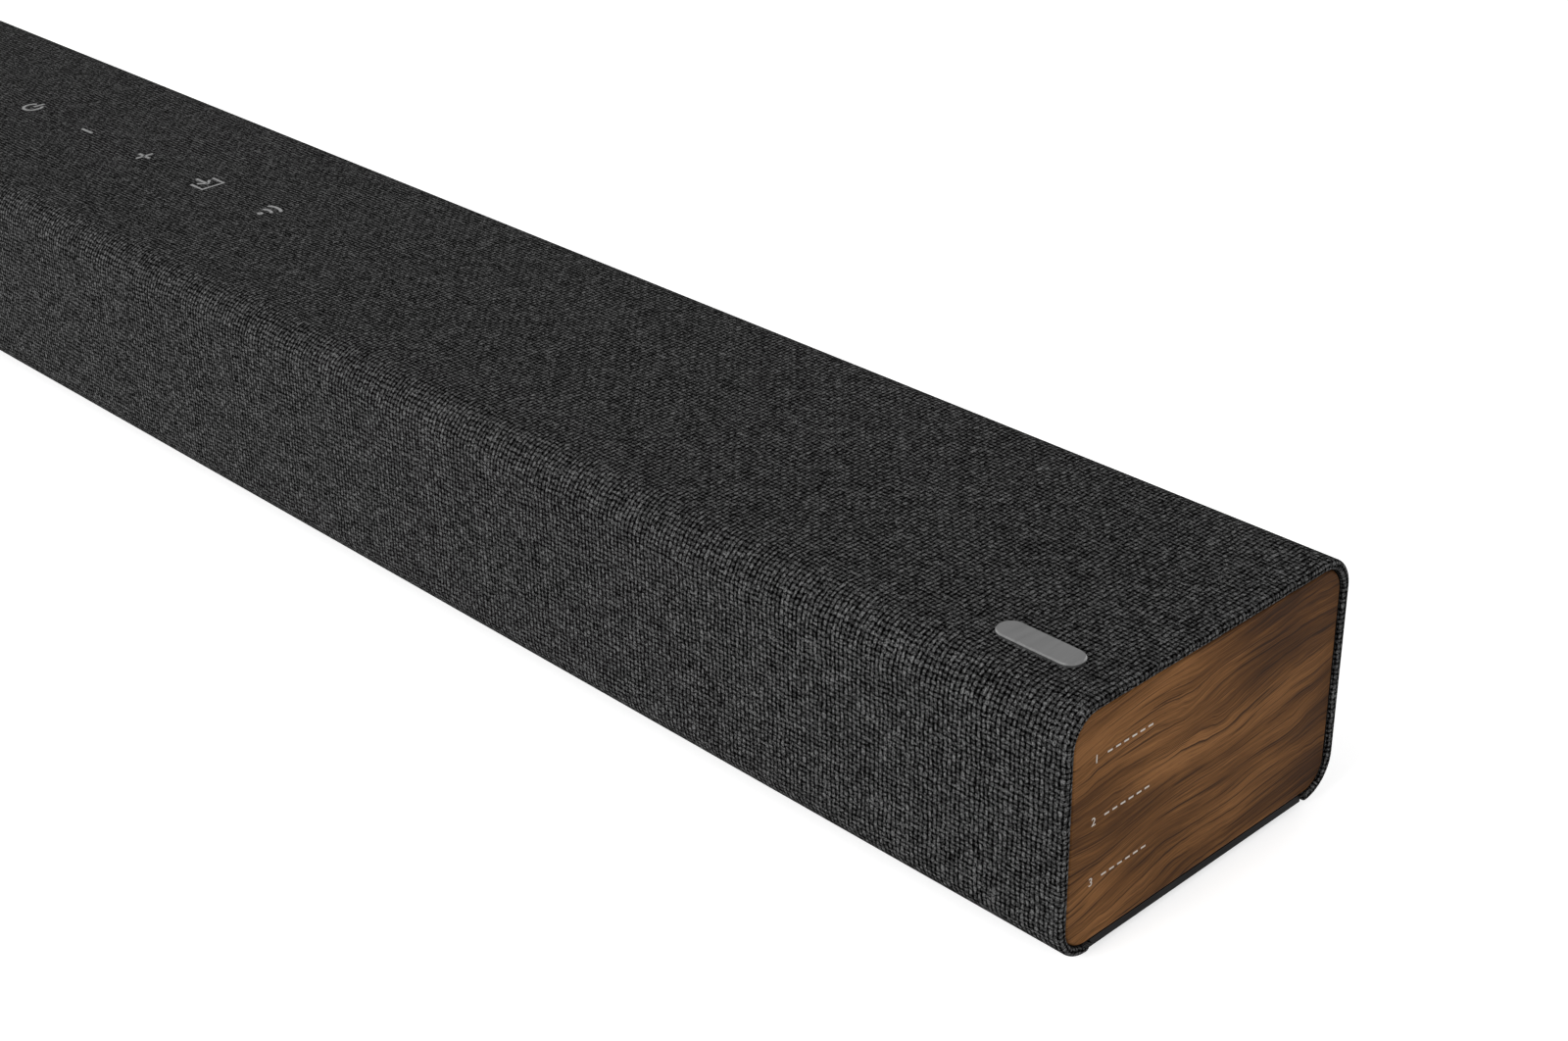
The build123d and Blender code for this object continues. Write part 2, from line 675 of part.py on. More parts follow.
# Keys that sit just under the fabric, each with the switch button that it presses
for name, x in key_places.items():
    with BuildPart() as key:
        with BuildSketch(Plane.XY.offset(flange_bottom)):
            with Locations((x, 0)):
                Rectangle(KEY_LENGTH + 2 * KEY_FLANGE_EDGE, KEY_WIDTH + 2 * KEY_FLANGE_EDGE)
        extrude(amount=KEY_FLANGE)
        with BuildSketch(Plane.XY.offset(flange_top)):
            with Locations((x, 0)):
                Rectangle(KEY_LENGTH, KEY_WIDTH)
        extrude(amount=key_top - flange_top)
        chamfer(key.edges().filter_by(Axis.Z).group_by(Axis.Z)[-1], KEY_CORNER)
        with BuildSketch(Plane.XY.offset(flange_bottom)):
            with Locations((x, 0)):
                Rectangle(KEY_STEM, KEY_STEM)
        extrude(amount=stem_bottom - flange_bottom)
        with BuildSketch(Plane.XY.offset(stem_bottom - GLUE)):
            with Locations((x, 0)):
                Rectangle(BUTTON, BUTTON)
        extrude(amount=-BUTTON_HEIGHT)
    key.part.label = f"key_{name}"
    export_step(key.part, f"parts/key_{name}.step")

guide_left = key_places["power"] - GUIDE_END
guide_right = key_places["pairing"] + GUIDE_END
guide_x = (guide_left + guide_right) / 2
guide_length = guide_right - guide_left

# Guide that keeps the keys square and stands on the key board
with BuildPart() as key_guide:
    with BuildSketch(Plane.XY.offset(guide_bottom)):
        with Locations((guide_x, 0)):
            Rectangle(guide_length, GUIDE_WIDTH)
    extrude(amount=GUIDE_PLATE)
    with BuildSketch(Plane.XY.offset(key_board_top)):
        with Locations((guide_x, 0)):
            Rectangle(guide_length, GUIDE_WIDTH)
            Rectangle(guide_length - 2 * GUIDE_WALL, GUIDE_WIDTH - 2 * GUIDE_WALL, mode=Mode.SUBTRACT)
        with Locations(*key_screw_places):
            RegularPolygon(SMALL_BOSS, SMALL_SIDES)
    extrude(amount=guide_bottom - key_board_top)
    with BuildSketch(Plane.XY.offset(guide_top)):
        with Locations(*[(x, 0) for x in key_places.values()]):
            Rectangle(KEY_STEM + 2 * FIT, KEY_STEM + 2 * FIT)
    extrude(amount=-GUIDE_PLATE, mode=Mode.SUBTRACT)
    with BuildSketch(Plane.XY.offset(key_board_top)):
        with Locations(*key_screw_places):
            RegularPolygon(SMALL_SCREW + SCREW_GAP, SMALL_SIDES)
    extrude(amount=guide_top - key_board_top, mode=Mode.SUBTRACT)
key_guide.part.label = "key_guide"
export_step(key_guide.part, "parts/key_guide.step")

with BuildPart() as key_board:
    with BuildSketch(Plane.XY.offset(key_board_bottom)):
        with Locations((guide_x, 0)):
            Rectangle(guide_length, GUIDE_WIDTH)
        with Locations(*key_screw_places):
            RegularPolygon(SMALL_SCREW + SCREW_GAP, SMALL_SIDES, mode=Mode.SUBTRACT)
    extrude(amount=BOARD)
key_board.part.label = "key_board"
export_step(key_board.part, "parts/key_board.step")

with BuildPart() as key_switches:
    with BuildSketch(Plane.XY.offset(key_board_top)):
        with Locations(*[(x, 0) for x in key_places.values()]):
            Rectangle(SWITCH, SWITCH)
    extrude(amount=SWITCH_HEIGHT)
    with BuildSketch(Plane.XY.offset(switch_top)):
        with Locations(*[(x, 0) for x in key_places.values()]):
            Rectangle(BUTTON + 2 * FIT, BUTTON + 2 * FIT)
    extrude(amount=-(BUTTON_HEIGHT - BUTTON_SHOWN + KEY_TRAVEL + FIT), mode=Mode.SUBTRACT)
key_switches.part.label = "key_switches"
export_step(key_switches.part, "parts/key_switches.step")

with BuildPart() as key_screws:
    with BuildSketch(Plane.XY.offset(key_board_bottom)):
        with Locations(*key_screw_places):
            RegularPolygon(SMALL_HEAD_RADIUS, SMALL_SIDES)
    extrude(amount=-SMALL_HEAD)
    with BuildSketch(Plane.XY.offset(key_board_bottom)):
        with Locations(*key_screw_places):
            RegularPolygon(SMALL_SCREW, SMALL_SIDES)
    extrude(amount=guide_top + SMALL_HEAD - key_board_bottom)
key_screws.part.label = "key_screws"
export_step(key_screws.part, "parts/key_screws.step")

# Speaker boxes: a tub with the baffle in front, and a lid behind
SpeakerBox = namedtuple("SpeakerBox", "name lid_name left right top back drivers screws")
BOXES = (
    SpeakerBox("speaker_box_left", "box_lid_left", -box_outer, -box_inner, box_top, box_back,
         DRIVERS[:1], box_screw_places[:2]),
    SpeakerBox("speaker_box_right", "box_lid_right", box_inner, box_outer, box_top, box_back,
         DRIVERS[1:2], box_screw_places[2:]),
    SpeakerBox("woofer_box", "woofer_box_lid", -WOOFER_BOX / 2, WOOFER_BOX / 2, woofer_box_top,
         woofer_box_back, DRIVERS[2:], woofer_screw_places),
)
port_x = WOOFER_BOX / 2 - PORT_FROM_END
woofer_lead_x = BASKET_HALF + TERMINAL / 2

for box in BOXES:
    width = box.right - box.left
    height = box.top - deck_top
    middle = ((box.left + box.right) / 2, (box.top + deck_top) / 2)
    tub_back = box.back - LID
    with BuildPart() as tub:
        with BuildSketch(Plane.XZ.offset(baffle_front)):
            with Locations(middle):
                Rectangle(width, height)
        extrude(amount=-(baffle_front + tub_back))
        with BuildSketch(Plane.XZ.offset(baffle_front - BAFFLE)):
            with Locations(middle):
                Rectangle(width - 2 * BOX_WALL, height - 2 * BOX_WALL)
        extrude(amount=-(baffle_front - BAFFLE + tub_back), mode=Mode.SUBTRACT)
        with BuildSketch(Plane.XY.offset(deck_top)):
            with Locations(*box.screws):
                RegularPolygon(BOSS_RADIUS, SMALL_SIDES)
        extrude(amount=SCREW_BITE + BOSS_CAP)
        for driver in box.drivers:
            with BuildSketch(Plane.XZ.offset(baffle_front - BAFFLE)):
                with Locations(*driver_screws_at(driver)):
                    RegularPolygon(SMALL_BOSS, SMALL_SIDES)
            extrude(amount=-SMALL_BITE)
            with BuildSketch(Plane.XZ.offset(baffle_front)):
                with Locations((driver.x, driver.z)):
                    SlotOverall(*opening_size(driver, BASKET_WALL + FIT))
            extrude(amount=-BAFFLE, mode=Mode.SUBTRACT)
            with BuildSketch(Plane.XZ.offset(baffle_front)):
                with Locations(*driver_screws_at(driver)):
                    RegularPolygon(SMALL_SCREW + SCREW_GAP, SMALL_SIDES)
            extrude(amount=-SMALL_BITE, mode=Mode.SUBTRACT)
        with BuildSketch(Plane.XY.offset(deck_top)):
            with Locations(*box.screws):
                RegularPolygon(TRAY_SCREW + SCREW_GAP, TRAY_SIDES)
        extrude(amount=SCREW_BITE + SCREW_GAP, mode=Mode.SUBTRACT)
        if box.name == "woofer_box":
            with BuildSketch(Plane.XZ.offset(baffle_front)):
                with Locations((port_x, woofer_z)):
                    Rectangle(PORT_WIDTH + 2 * SCREW_GAP, PORT_HEIGHT + 2 * SCREW_GAP)
            extrude(amount=-BAFFLE, mode=Mode.SUBTRACT)
        else:
            # The speaker lead passes through the wall that faces the boards
            with BuildSketch(Plane.YZ):
                with Locations((lead_y, lead_z)):
                    Rectangle(LEAD_WIDTH + 2 * FIT, LEAD_HEIGHT + 2 * FIT)
            inner_wall = box.left if box.left > 0 else box.right
            reach = inner_wall + BOX_WALL if box.left > 0 else inner_wall - BOX_WALL
            extrude(amount=reach, mode=Mode.SUBTRACT)
    tub.part.label = box.name
    export_step(tub.part, f"parts/{box.name}.step")

    with BuildPart() as lid:
        with BuildSketch(Plane.XZ.offset(-box.back)):
            with Locations(middle):
                Rectangle(width, height)
        extrude(amount=LID)
        with BuildSketch(Plane.XZ.offset(-tub_back)):
            with Locations(middle):
                Rectangle(width - 2 * (BOX_WALL + FIT), height - 2 * (BOX_WALL + FIT))
                Rectangle(
                    width - 4 * BOX_WALL - 2 * FIT, height - 4 * BOX_WALL - 2 * FIT, mode=Mode.SUBTRACT
                )
        extrude(amount=LID_STEP)
        if box.name == "woofer_box":
            with BuildSketch(Plane.XZ.offset(-box.back)):
                with Locations((woofer_lead_x, lead_z)):
                    Rectangle(LEAD_WIDTH + 2 * FIT, LEAD_HEIGHT + 2 * FIT)
            extrude(amount=LID, mode=Mode.SUBTRACT)
    lid.part.label = box.lid_name
    export_step(lid.part, f"parts/{box.lid_name}.step")

# Flanged bass duct in the woofer box's baffle
with BuildPart() as port_tube:
    with BuildSketch(Plane.XZ.offset(baffle_front)):
        with Locations((port_x, woofer_z)):
            Rectangle(PORT_WIDTH + 2 * PORT_FLANGE, PORT_HEIGHT + 2 * PORT_FLANGE)
    extrude(amount=PORT_WALL)
    chamfer(port_tube.faces().sort_by(Axis.Y)[0].edges(), PORT_WALL / 2)
    with BuildSketch(Plane.XZ.offset(baffle_front)):
        with Locations((port_x, woofer_z)):
            Rectangle(PORT_WIDTH, PORT_HEIGHT)
    extrude(amount=-PORT_LENGTH)
    with BuildSketch(Plane.XZ.offset(baffle_front + PORT_WALL)):
        with Locations((port_x, woofer_z)):
            Rectangle(PORT_WIDTH - 2 * PORT_WALL, PORT_HEIGHT - 2 * PORT_WALL)
    extrude(amount=-(PORT_LENGTH + PORT_WALL), mode=Mode.SUBTRACT)
port_tube.part.label = "port_tube"
export_step(port_tube.part, "parts/port_tube.step")

# Drivers: foam gasket, pressed basket with a spider ledge, magnet, yoke and soft suspension
with BuildPart() as driver_gaskets:
    for driver in DRIVERS:
        with BuildSketch(Plane.XZ.offset(baffle_front)):
            with Locations((driver.x, driver.z)):
                SlotOverall(*opening_size(driver, BASKET_WALL + FIT + GASKET_WIDTH))
                SlotOverall(*opening_size(driver, BASKET_WALL + FIT), mode=Mode.SUBTRACT)
        extrude(amount=GASKET)
driver_gaskets.part.label = "driver_gaskets"
export_step(driver_gaskets.part, "parts/driver_gaskets.step")

with BuildPart() as driver_baskets:
    for driver in DRIVERS:
        opening_height = opening_size(driver)[1]
        terminal_side = 1 if driver.x <= 0 else -1
        with BuildSketch(Plane.XZ.offset(flange_back)):
            with Locations((driver.x, driver.z)):
                RectangleRounded(driver.width, driver.height, FLANGE_CORNER)
                SlotOverall(*opening_size(driver), mode=Mode.SUBTRACT)
            with Locations(*driver_screws_at(driver)):
                RegularPolygon(SMALL_SCREW + SCREW_GAP, SMALL_SIDES, mode=Mode.SUBTRACT)
        extrude(amount=FLANGE)
        with BuildSketch(Plane.XZ.offset(flange_back)):
            with Locations((driver.x, driver.z)):
                with GridLocations(1, opening_height + BASKET_WALL, 1, 2):
                    Rectangle(2 * BASKET_HALF, BASKET_WALL)
        extrude(amount=-(BASKET_DEPTH + TOP_PLATE))
        with BuildSketch(Plane.XZ.offset(plate_front)):
            with Locations((driver.x, driver.z)):
                Rectangle(2 * BASKET_HALF, opening_height + 2 * BASKET_WALL)
            with Locations((driver.x + terminal_side * (BASKET_HALF + TERMINAL / 2), lead_z)):
                Rectangle(TERMINAL, TERMINAL)
            with Locations((driver.x, driver.z)):
                Circle(driver.coil + COIL_GAP, mode=Mode.SUBTRACT)
        extrude(amount=-TOP_PLATE)
        with BuildSketch(Plane.XZ.offset(plate_front)):
            with Locations((driver.x, driver.z)):
                Circle(SPIDER_RADIUS)
                Circle(SPIDER_RADIUS - SPIDER_LEDGE, mode=Mode.SUBTRACT)
        extrude(amount=SPIDER_RISE)
driver_baskets.part.label = "driver_baskets"
export_step(driver_baskets.part, "parts/driver_baskets.step")

with BuildPart() as driver_magnets:
    for driver in DRIVERS:
        with BuildSketch(Plane.XZ.offset(plate_back)):
            with Locations((driver.x, driver.z)):
                Circle(driver.magnet)
                Circle(driver.coil + MAGNET_BORE_GAP, mode=Mode.SUBTRACT)
        extrude(amount=-MAGNET)
driver_magnets.part.label = "driver_magnets"
export_step(driver_magnets.part, "parts/driver_magnets.step")

with BuildPart() as driver_yokes:
    for driver in DRIVERS:
        with BuildSketch(Plane.XZ.offset(magnet_back)):
            with Locations((driver.x, driver.z)):
                Circle(driver.magnet - YOKE_STEP)
        extrude(amount=-YOKE)
        with BuildSketch(Plane.XZ.offset(magnet_back)):
            with Locations((driver.x, driver.z)):
                Circle(driver.coil - COIL_WALL - COIL_GAP)
        extrude(amount=MAGNET + TOP_PLATE)
driver_yokes.part.label = "driver_yokes"
export_step(driver_yokes.part, "parts/driver_yokes.step")

with BuildPart() as driver_surrounds:
    for driver in DRIVERS:
        with BuildSketch(Plane.XZ.offset(flange_front)):
            with Locations((driver.x, driver.z)):
                SlotOverall(*opening_size(driver, SURROUND_LIP))
                SlotOverall(*opening_size(driver, -SURROUND_WIDTH - CONE), mode=Mode.SUBTRACT)
        extrude(amount=SURROUND)
        with BuildSketch(Plane.XZ.offset(flange_front + SURROUND)):
            with Locations((driver.x, driver.z)):
                SlotOverall(*opening_size(driver))
                SlotOverall(*opening_size(driver, -SURROUND_WIDTH), mode=Mode.SUBTRACT)
        extrude(amount=SURROUND_ROLL, taper=CONE_TAPER)
driver_surrounds.part.label = "driver_surrounds"
export_step(driver_surrounds.part, "parts/driver_surrounds.step")

with BuildPart() as driver_spiders:
    for driver in DRIVERS:
        with BuildSketch(Plane.XZ.offset(spider_back)):
            with Locations((driver.x, driver.z)):
                Circle(SPIDER_RADIUS)
                Circle(driver.coil + GLUE, mode=Mode.SUBTRACT)
        extrude(amount=SPIDER)
driver_spiders.part.label = "driver_spiders"
export_step(driver_spiders.part, "parts/driver_spiders.step")

# Moving cones, each with its dust cap in front and its voice coil behind
for driver in DRIVERS:
    with BuildPart() as cone:
        with BuildSketch(Plane.XZ.offset(flange_front)):
            with Locations((driver.x, driver.z)):
                SlotOverall(*opening_size(driver, -SURROUND_WIDTH))
        extrude(amount=-CONE_DEPTH, taper=CONE_TAPER)
        with BuildSketch(Plane.XZ.offset(flange_front)):
            with Locations((driver.x, driver.z)):
                SlotOverall(*opening_size(driver, -SURROUND_WIDTH - CONE))
        extrude(amount=CONE - CONE_DEPTH, taper=CONE_TAPER, mode=Mode.SUBTRACT)
        with BuildSketch(Plane.XZ.offset(cone_back + CONE + GLUE)):
            with Locations((driver.x, driver.z)):
                Circle(driver.coil)
        extrude(amount=CAP_HEIGHT)
        with BuildSketch(Plane.XZ.offset(cone_back - GLUE)):
            with Locations((driver.x, driver.z)):
                Circle(driver.coil)
                Circle(driver.coil - COIL_WALL, mode=Mode.SUBTRACT)
        extrude(amount=-(cone_back - GLUE - plate_back + COIL_BELOW_PLATE))
    cone.part.label = driver.name
    export_step(cone.part, f"parts/{driver.name}.step")

with BuildPart() as driver_screws:
    for driver in DRIVERS:
        with BuildSketch(Plane.XZ.offset(flange_front)):
            with Locations(*driver_screws_at(driver)):
                RegularPolygon(SMALL_HEAD_RADIUS, SMALL_SIDES)
        extrude(amount=SMALL_HEAD)
        with BuildSketch(Plane.XZ.offset(flange_front)):
            with Locations(*driver_screws_at(driver)):
                RegularPolygon(SMALL_SCREW, SMALL_SIDES)
        extrude(amount=-(FLANGE + GASKET + SMALL_BITE - FIT))
driver_screws.part.label = "driver_screws"
export_step(driver_screws.part, "parts/driver_screws.step")


def board_outline(ends):
    """A circuit board with its screw holes and a notch round the connector bay's post."""
    post_x = next(x for x, _ in post_places if ends[0] < x < ends[1])
    with Locations(((ends[0] + ends[1]) / 2, (board_front + board_back) / 2)):
        Rectangle(ends[1] - ends[0], BOARD_DEPTH)
    with Locations((post_x, board_back)):
        Rectangle(POST_WIDTH + 4 * FIT, 2 * (POST_DEPTH + FIT), mode=Mode.SUBTRACT)
    with Locations(*[place for place in board_hole_places if ends[0] < place[0] < ends[1]]):
        RegularPolygon(SMALL_SCREW + SCREW_GAP, SMALL_SIDES, mode=Mode.SUBTRACT)


# Main board with its chips and the housings that the speaker leads plug into
chip_y = board_front + CHIP_FROM_BOARD_FRONT
right_lead_x = main_board_ends[1] - LEAD_FROM_BOARD_END
left_lead_x = main_board_ends[0] + LEAD_FROM_BOARD_END
with BuildPart() as main_board:
    with BuildSketch(Plane.XY.offset(BOARD_HEIGHT)):
        board_outline(main_board_ends)
    extrude(amount=BOARD)
    with BuildSketch(Plane.XY.offset(board_top)):
        with Locations((CHIP_X, chip_y), (AMPLIFIER_X, chip_y)):
            Rectangle(CHIP, CHIP)
    extrude(amount=CHIP_HEIGHT)
    with BuildSketch(Plane.XY.offset(board_top)):
        with Locations((right_lead_x, lead_y), (left_lead_x, lead_y), (woofer_lead_x, lead_y)):
            Rectangle(PLUG_HOUSING, PLUG_HOUSING)
    extrude(amount=PLUG_HOUSING_HEIGHT)
main_board.part.label = "main_board"
export_step(main_board.part, "parts/main_board.step")

# Finned heatsink on the amplifier chip
with BuildPart() as heatsink:
    with BuildSketch(Plane.XZ.offset(HEATSINK_WIDTH / 2 - chip_y)):
        with Locations((AMPLIFIER_X, board_top + CHIP_HEIGHT)):
            Rectangle(HEATSINK_LENGTH, HEATSINK_BASE, align=(Align.CENTER, Align.MIN))
        with Locations((AMPLIFIER_X, board_top + CHIP_HEIGHT + HEATSINK_HEIGHT / 2)):
            with GridLocations((HEATSINK_LENGTH - HEATSINK_FIN) / (HEATSINK_FINS - 1), 1, HEATSINK_FINS, 1):
                Rectangle(HEATSINK_FIN, HEATSINK_HEIGHT)
    extrude(amount=-HEATSINK_WIDTH)
heatsink.part.label = "heatsink"
export_step(heatsink.part, "parts/heatsink.step")

# Wireless module: a small board with a screening can
with BuildPart() as wireless_module:
    with BuildSketch(Plane.XY.offset(board_top)):
        with Locations((MODULE_X, chip_y)):
            Rectangle(MODULE_WIDTH, MODULE_LENGTH)
    extrude(amount=MODULE_BOARD)
    with BuildSketch(Plane.XY.offset(board_top + MODULE_BOARD)):
        with Locations((MODULE_X, chip_y)):
            Rectangle(MODULE_WIDTH - MODULE_EDGE, MODULE_LENGTH - 2 * MODULE_EDGE)
    extrude(amount=MODULE_CAN)
wireless_module.part.label = "wireless_module"
export_step(wireless_module.part, "parts/wireless_module.step")

# Sockets: each mouth stands a little proud of the bay's floor
socket_mouth = bay_floor + SOCKET_PROUD
hdmi_z = board_top + HDMI_HEIGHT / 2


def hdmi_outline(margin):
    """Mouths with bevelled lower corners, on an XZ plane, with a margin round them."""
    with BuildSketch(mode=Mode.PRIVATE) as mouth:
        Rectangle(HDMI_WIDTH, HDMI_HEIGHT)
        chamfer(mouth.vertices().group_by(Axis.Y)[0], HDMI_BEVEL)
        offset(amount=margin, kind=Kind.INTERSECTION)
    with Locations(*[(x, hdmi_z) for x in HDMI_PLACES]):
        add(mouth.sketch)


with BuildPart() as hdmi_sockets:
    with BuildSketch(Plane.XZ.offset(-socket_mouth)):
        hdmi_outline(0)
    extrude(amount=HDMI_DEPTH)
    with BuildSketch(Plane.XZ.offset(-socket_mouth)):
        hdmi_outline(-SOCKET_WALL)
    extrude(amount=HDMI_DEPTH - SOCKET_BACK, mode=Mode.SUBTRACT)
    with BuildSketch(Plane.XZ.offset(TONGUE_SET_BACK - socket_mouth)):
        with Locations(*[(x, hdmi_z) for x in HDMI_PLACES]):
            Rectangle(HDMI_TONGUE_WIDTH, HDMI_TONGUE)
    extrude(amount=HDMI_DEPTH - SOCKET_BACK - TONGUE_SET_BACK)
hdmi_sockets.part.label = "hdmi_sockets"
export_step(hdmi_sockets.part, "parts/hdmi_sockets.step")

usb_z = board_top + USB_HEIGHT / 2
with BuildPart() as usb_socket:
    with BuildSketch(Plane.XZ.offset(-socket_mouth)):
        with Locations((USB_X, usb_z)):
            Rectangle(USB_WIDTH, USB_HEIGHT)
    extrude(amount=USB_DEPTH)
    with BuildSketch(Plane.XZ.offset(-socket_mouth)):
        with Locations((USB_X, usb_z)):
            Rectangle(USB_WIDTH - 2 * SOCKET_WALL, USB_HEIGHT - 2 * SOCKET_WALL)
    extrude(amount=USB_DEPTH - SOCKET_BACK, mode=Mode.SUBTRACT)
    with BuildSketch(Plane.XZ.offset(TONGUE_SET_BACK - socket_mouth)):
        with Locations((USB_X, usb_z + USB_TONGUE_RISE)):
            Rectangle(USB_TONGUE_WIDTH, USB_TONGUE)
    extrude(amount=USB_DEPTH - SOCKET_BACK - TONGUE_SET_BACK)
usb_socket.part.label = "usb_socket"
export_step(usb_socket.part, "parts/usb_socket.step")

optical_z = board_top + OPTICAL_SIZE / 2
with BuildPart() as optical_socket:
    with BuildSketch(Plane.XZ.offset(-socket_mouth)):
        with Locations((OPTICAL_X, optical_z)):
            Rectangle(OPTICAL_SIZE, OPTICAL_SIZE)
    extrude(amount=OPTICAL_DEPTH)
    with BuildSketch(Plane.XZ.offset(-socket_mouth)):
        with Locations((OPTICAL_X, optical_z)):
            Rectangle(OPTICAL_HOLE, OPTICAL_HOLE)
    extrude(amount=OPTICAL_HOLE_DEPTH, mode=Mode.SUBTRACT)
optical_socket.part.label = "optical_socket"
export_step(optical_socket.part, "parts/optical_socket.step")

# Two-pin mains inlet on the power board
mains_z = board_top + MAINS_HEIGHT / 2
with BuildPart() as mains_inlet:
    with BuildSketch(Plane.XZ.offset(-socket_mouth)):
        with Locations((MAINS_X, mains_z)):
            Rectangle(MAINS_WIDTH, MAINS_HEIGHT)
    extrude(amount=MAINS_DEPTH)
    with BuildSketch(Plane.XZ.offset(-socket_mouth)):
        with Locations((MAINS_X, mains_z)):
            SlotOverall(MAINS_RECESS_WIDTH, MAINS_RECESS_HEIGHT)
    extrude(amount=MAINS_RECESS_DEPTH, mode=Mode.SUBTRACT)
    with BuildSketch(Plane.XZ.offset(PIN_SET_BACK - socket_mouth)):
        with Locations((MAINS_X, mains_z)):
            with GridLocations(PIN_SPACING, 1, 2, 1):
                RegularPolygon(PIN_RADIUS, SMALL_SIDES)
    extrude(amount=MAINS_RECESS_DEPTH - PIN_SET_BACK)
mains_inlet.part.label = "mains_inlet"
export_step(mains_inlet.part, "parts/mains_inlet.step")

with BuildPart() as power_board:
    with BuildSketch(Plane.XY.offset(BOARD_HEIGHT)):
        board_outline(power_board_ends)
    extrude(amount=BOARD)
power_board.part.label = "power_board"
export_step(power_board.part, "parts/power_board.step")

# Transformer: a winding inside a ferrite frame
transformer_y = board_back - TRANSFORMER_FROM_BOARD_BACK
with BuildPart() as transformer:
    with BuildSketch(Plane.XZ.offset(TRANSFORMER_WIDTH / 2 - transformer_y)):
        with Locations((TRANSFORMER_X, board_top + TRANSFORMER_HEIGHT / 2)):
            Rectangle(TRANSFORMER_LENGTH, TRANSFORMER_HEIGHT)
            Rectangle(
                TRANSFORMER_LENGTH - 2 * TRANSFORMER_CORE,
                TRANSFORMER_HEIGHT - 2 * TRANSFORMER_CORE,
                mode=Mode.SUBTRACT,
            )
    extrude(amount=-TRANSFORMER_WIDTH)
    with BuildSketch(Plane.XZ.offset(TRANSFORMER_WIDTH / 2 - transformer_y - WINDING_INSET)):
        with Locations((TRANSFORMER_X, board_top + TRANSFORMER_HEIGHT / 2)):
            Rectangle(
                TRANSFORMER_LENGTH - 2 * TRANSFORMER_CORE - FIT,
                TRANSFORMER_HEIGHT - 2 * TRANSFORMER_CORE - FIT,
            )
    extrude(amount=2 * WINDING_INSET - TRANSFORMER_WIDTH)
transformer.part.label = "transformer"
export_step(transformer.part, "parts/transformer.step")

with BuildPart() as bulk_capacitor:
    with BuildSketch(Plane.XY.offset(board_top)):
        with Locations((CAPACITOR_X, board_back - CAPACITOR_FROM_BOARD_BACK)):
            Circle(CAPACITOR_RADIUS)
    extrude(amount=CAPACITOR_HEIGHT)
bulk_capacitor.part.label = "bulk_capacitor"
export_step(bulk_capacitor.part, "parts/bulk_capacitor.step")

# Recessed connector panel: a rim in the sleeve's opening, bay walls and a pierced floor
with BuildPart() as connector_panel:
    with BuildSketch(Plane.XZ.offset(BAY_SUNK - DEPTH / 2)):
        bay_outline(BAY_RIM)
    extrude(amount=rim - BAY_SUNK)
    with BuildSketch(Plane.XZ.offset(BAY_SUNK - DEPTH / 2)):
        bay_outline(BAY_WALL)
    extrude(amount=BAY_DEPTH + BAY_FLOOR - BAY_SUNK)
    with BuildSketch(Plane.XZ.offset(BAY_SUNK - DEPTH / 2)):
        bay_outline(0)
    extrude(amount=BAY_DEPTH - BAY_SUNK, mode=Mode.SUBTRACT)
    with BuildSketch(Plane.XZ.offset(-bay_floor)):
        hdmi_outline(FIT)
        with Locations((USB_X, usb_z)):
            Rectangle(USB_WIDTH + 2 * FIT, USB_HEIGHT + 2 * FIT)
        with Locations((OPTICAL_X, optical_z)):
            Rectangle(OPTICAL_SIZE + 2 * FIT, OPTICAL_SIZE + 2 * FIT)
        with Locations((MAINS_X, mains_z)):
            Rectangle(MAINS_WIDTH + 2 * FIT, MAINS_HEIGHT + 2 * FIT)
        with Locations(*[(x, bay_z) for x, _ in post_places]):
            RegularPolygon(SMALL_SCREW + SCREW_GAP, SMALL_SIDES)
    extrude(amount=BAY_FLOOR, mode=Mode.SUBTRACT)
connector_panel.part.label = "connector_panel"
export_step(connector_panel.part, "parts/connector_panel.step")

with BuildPart() as panel_screws:
    with BuildSketch(Plane.XZ.offset(-bay_floor)):
        with Locations(*[(x, bay_z) for x, _ in post_places]):
            RegularPolygon(SMALL_HEAD_RADIUS, SMALL_SIDES)
    extrude(amount=-SMALL_HEAD)
    with BuildSketch(Plane.XZ.offset(-bay_floor)):
        with Locations(*[(x, bay_z) for x, _ in post_places]):
            RegularPolygon(SMALL_SCREW, SMALL_SIDES)
    extrude(amount=BAY_FLOOR + SMALL_BITE - FIT)
panel_screws.part.label = "panel_screws"
export_step(panel_screws.part, "parts/panel_screws.step")

# Indicators: a board on the right carrier's arms, its lamps and a clear guide through the shell
with BuildPart() as indicator_board:
    with BuildSketch(Plane.XZ.offset(indicator_front - BOARD)):
        with Locations((indicator_x, indicator_middle)):
            Rectangle(INDICATOR_BOARD_WIDTH, INDICATOR_BOARD_HEIGHT)
        with Locations(*arm_places):
            RegularPolygon(SMALL_SCREW + SCREW_GAP, SMALL_SIDES, mode=Mode.SUBTRACT)
    extrude(amount=BOARD)
indicator_board.part.label = "indicator_board"
export_step(indicator_board.part, "parts/indicator_board.step")

with BuildPart() as indicator_leds:
    with BuildSketch(Plane.XZ.offset(indicator_front)):
        with Locations(*[(indicator_x, height) for height in indicator_heights]):
            Rectangle(LED_WIDTH, LED_HEIGHT)
    extrude(amount=LED)
indicator_leds.part.label = "indicator_leds"
export_step(indicator_leds.part, "parts/indicator_leds.step")

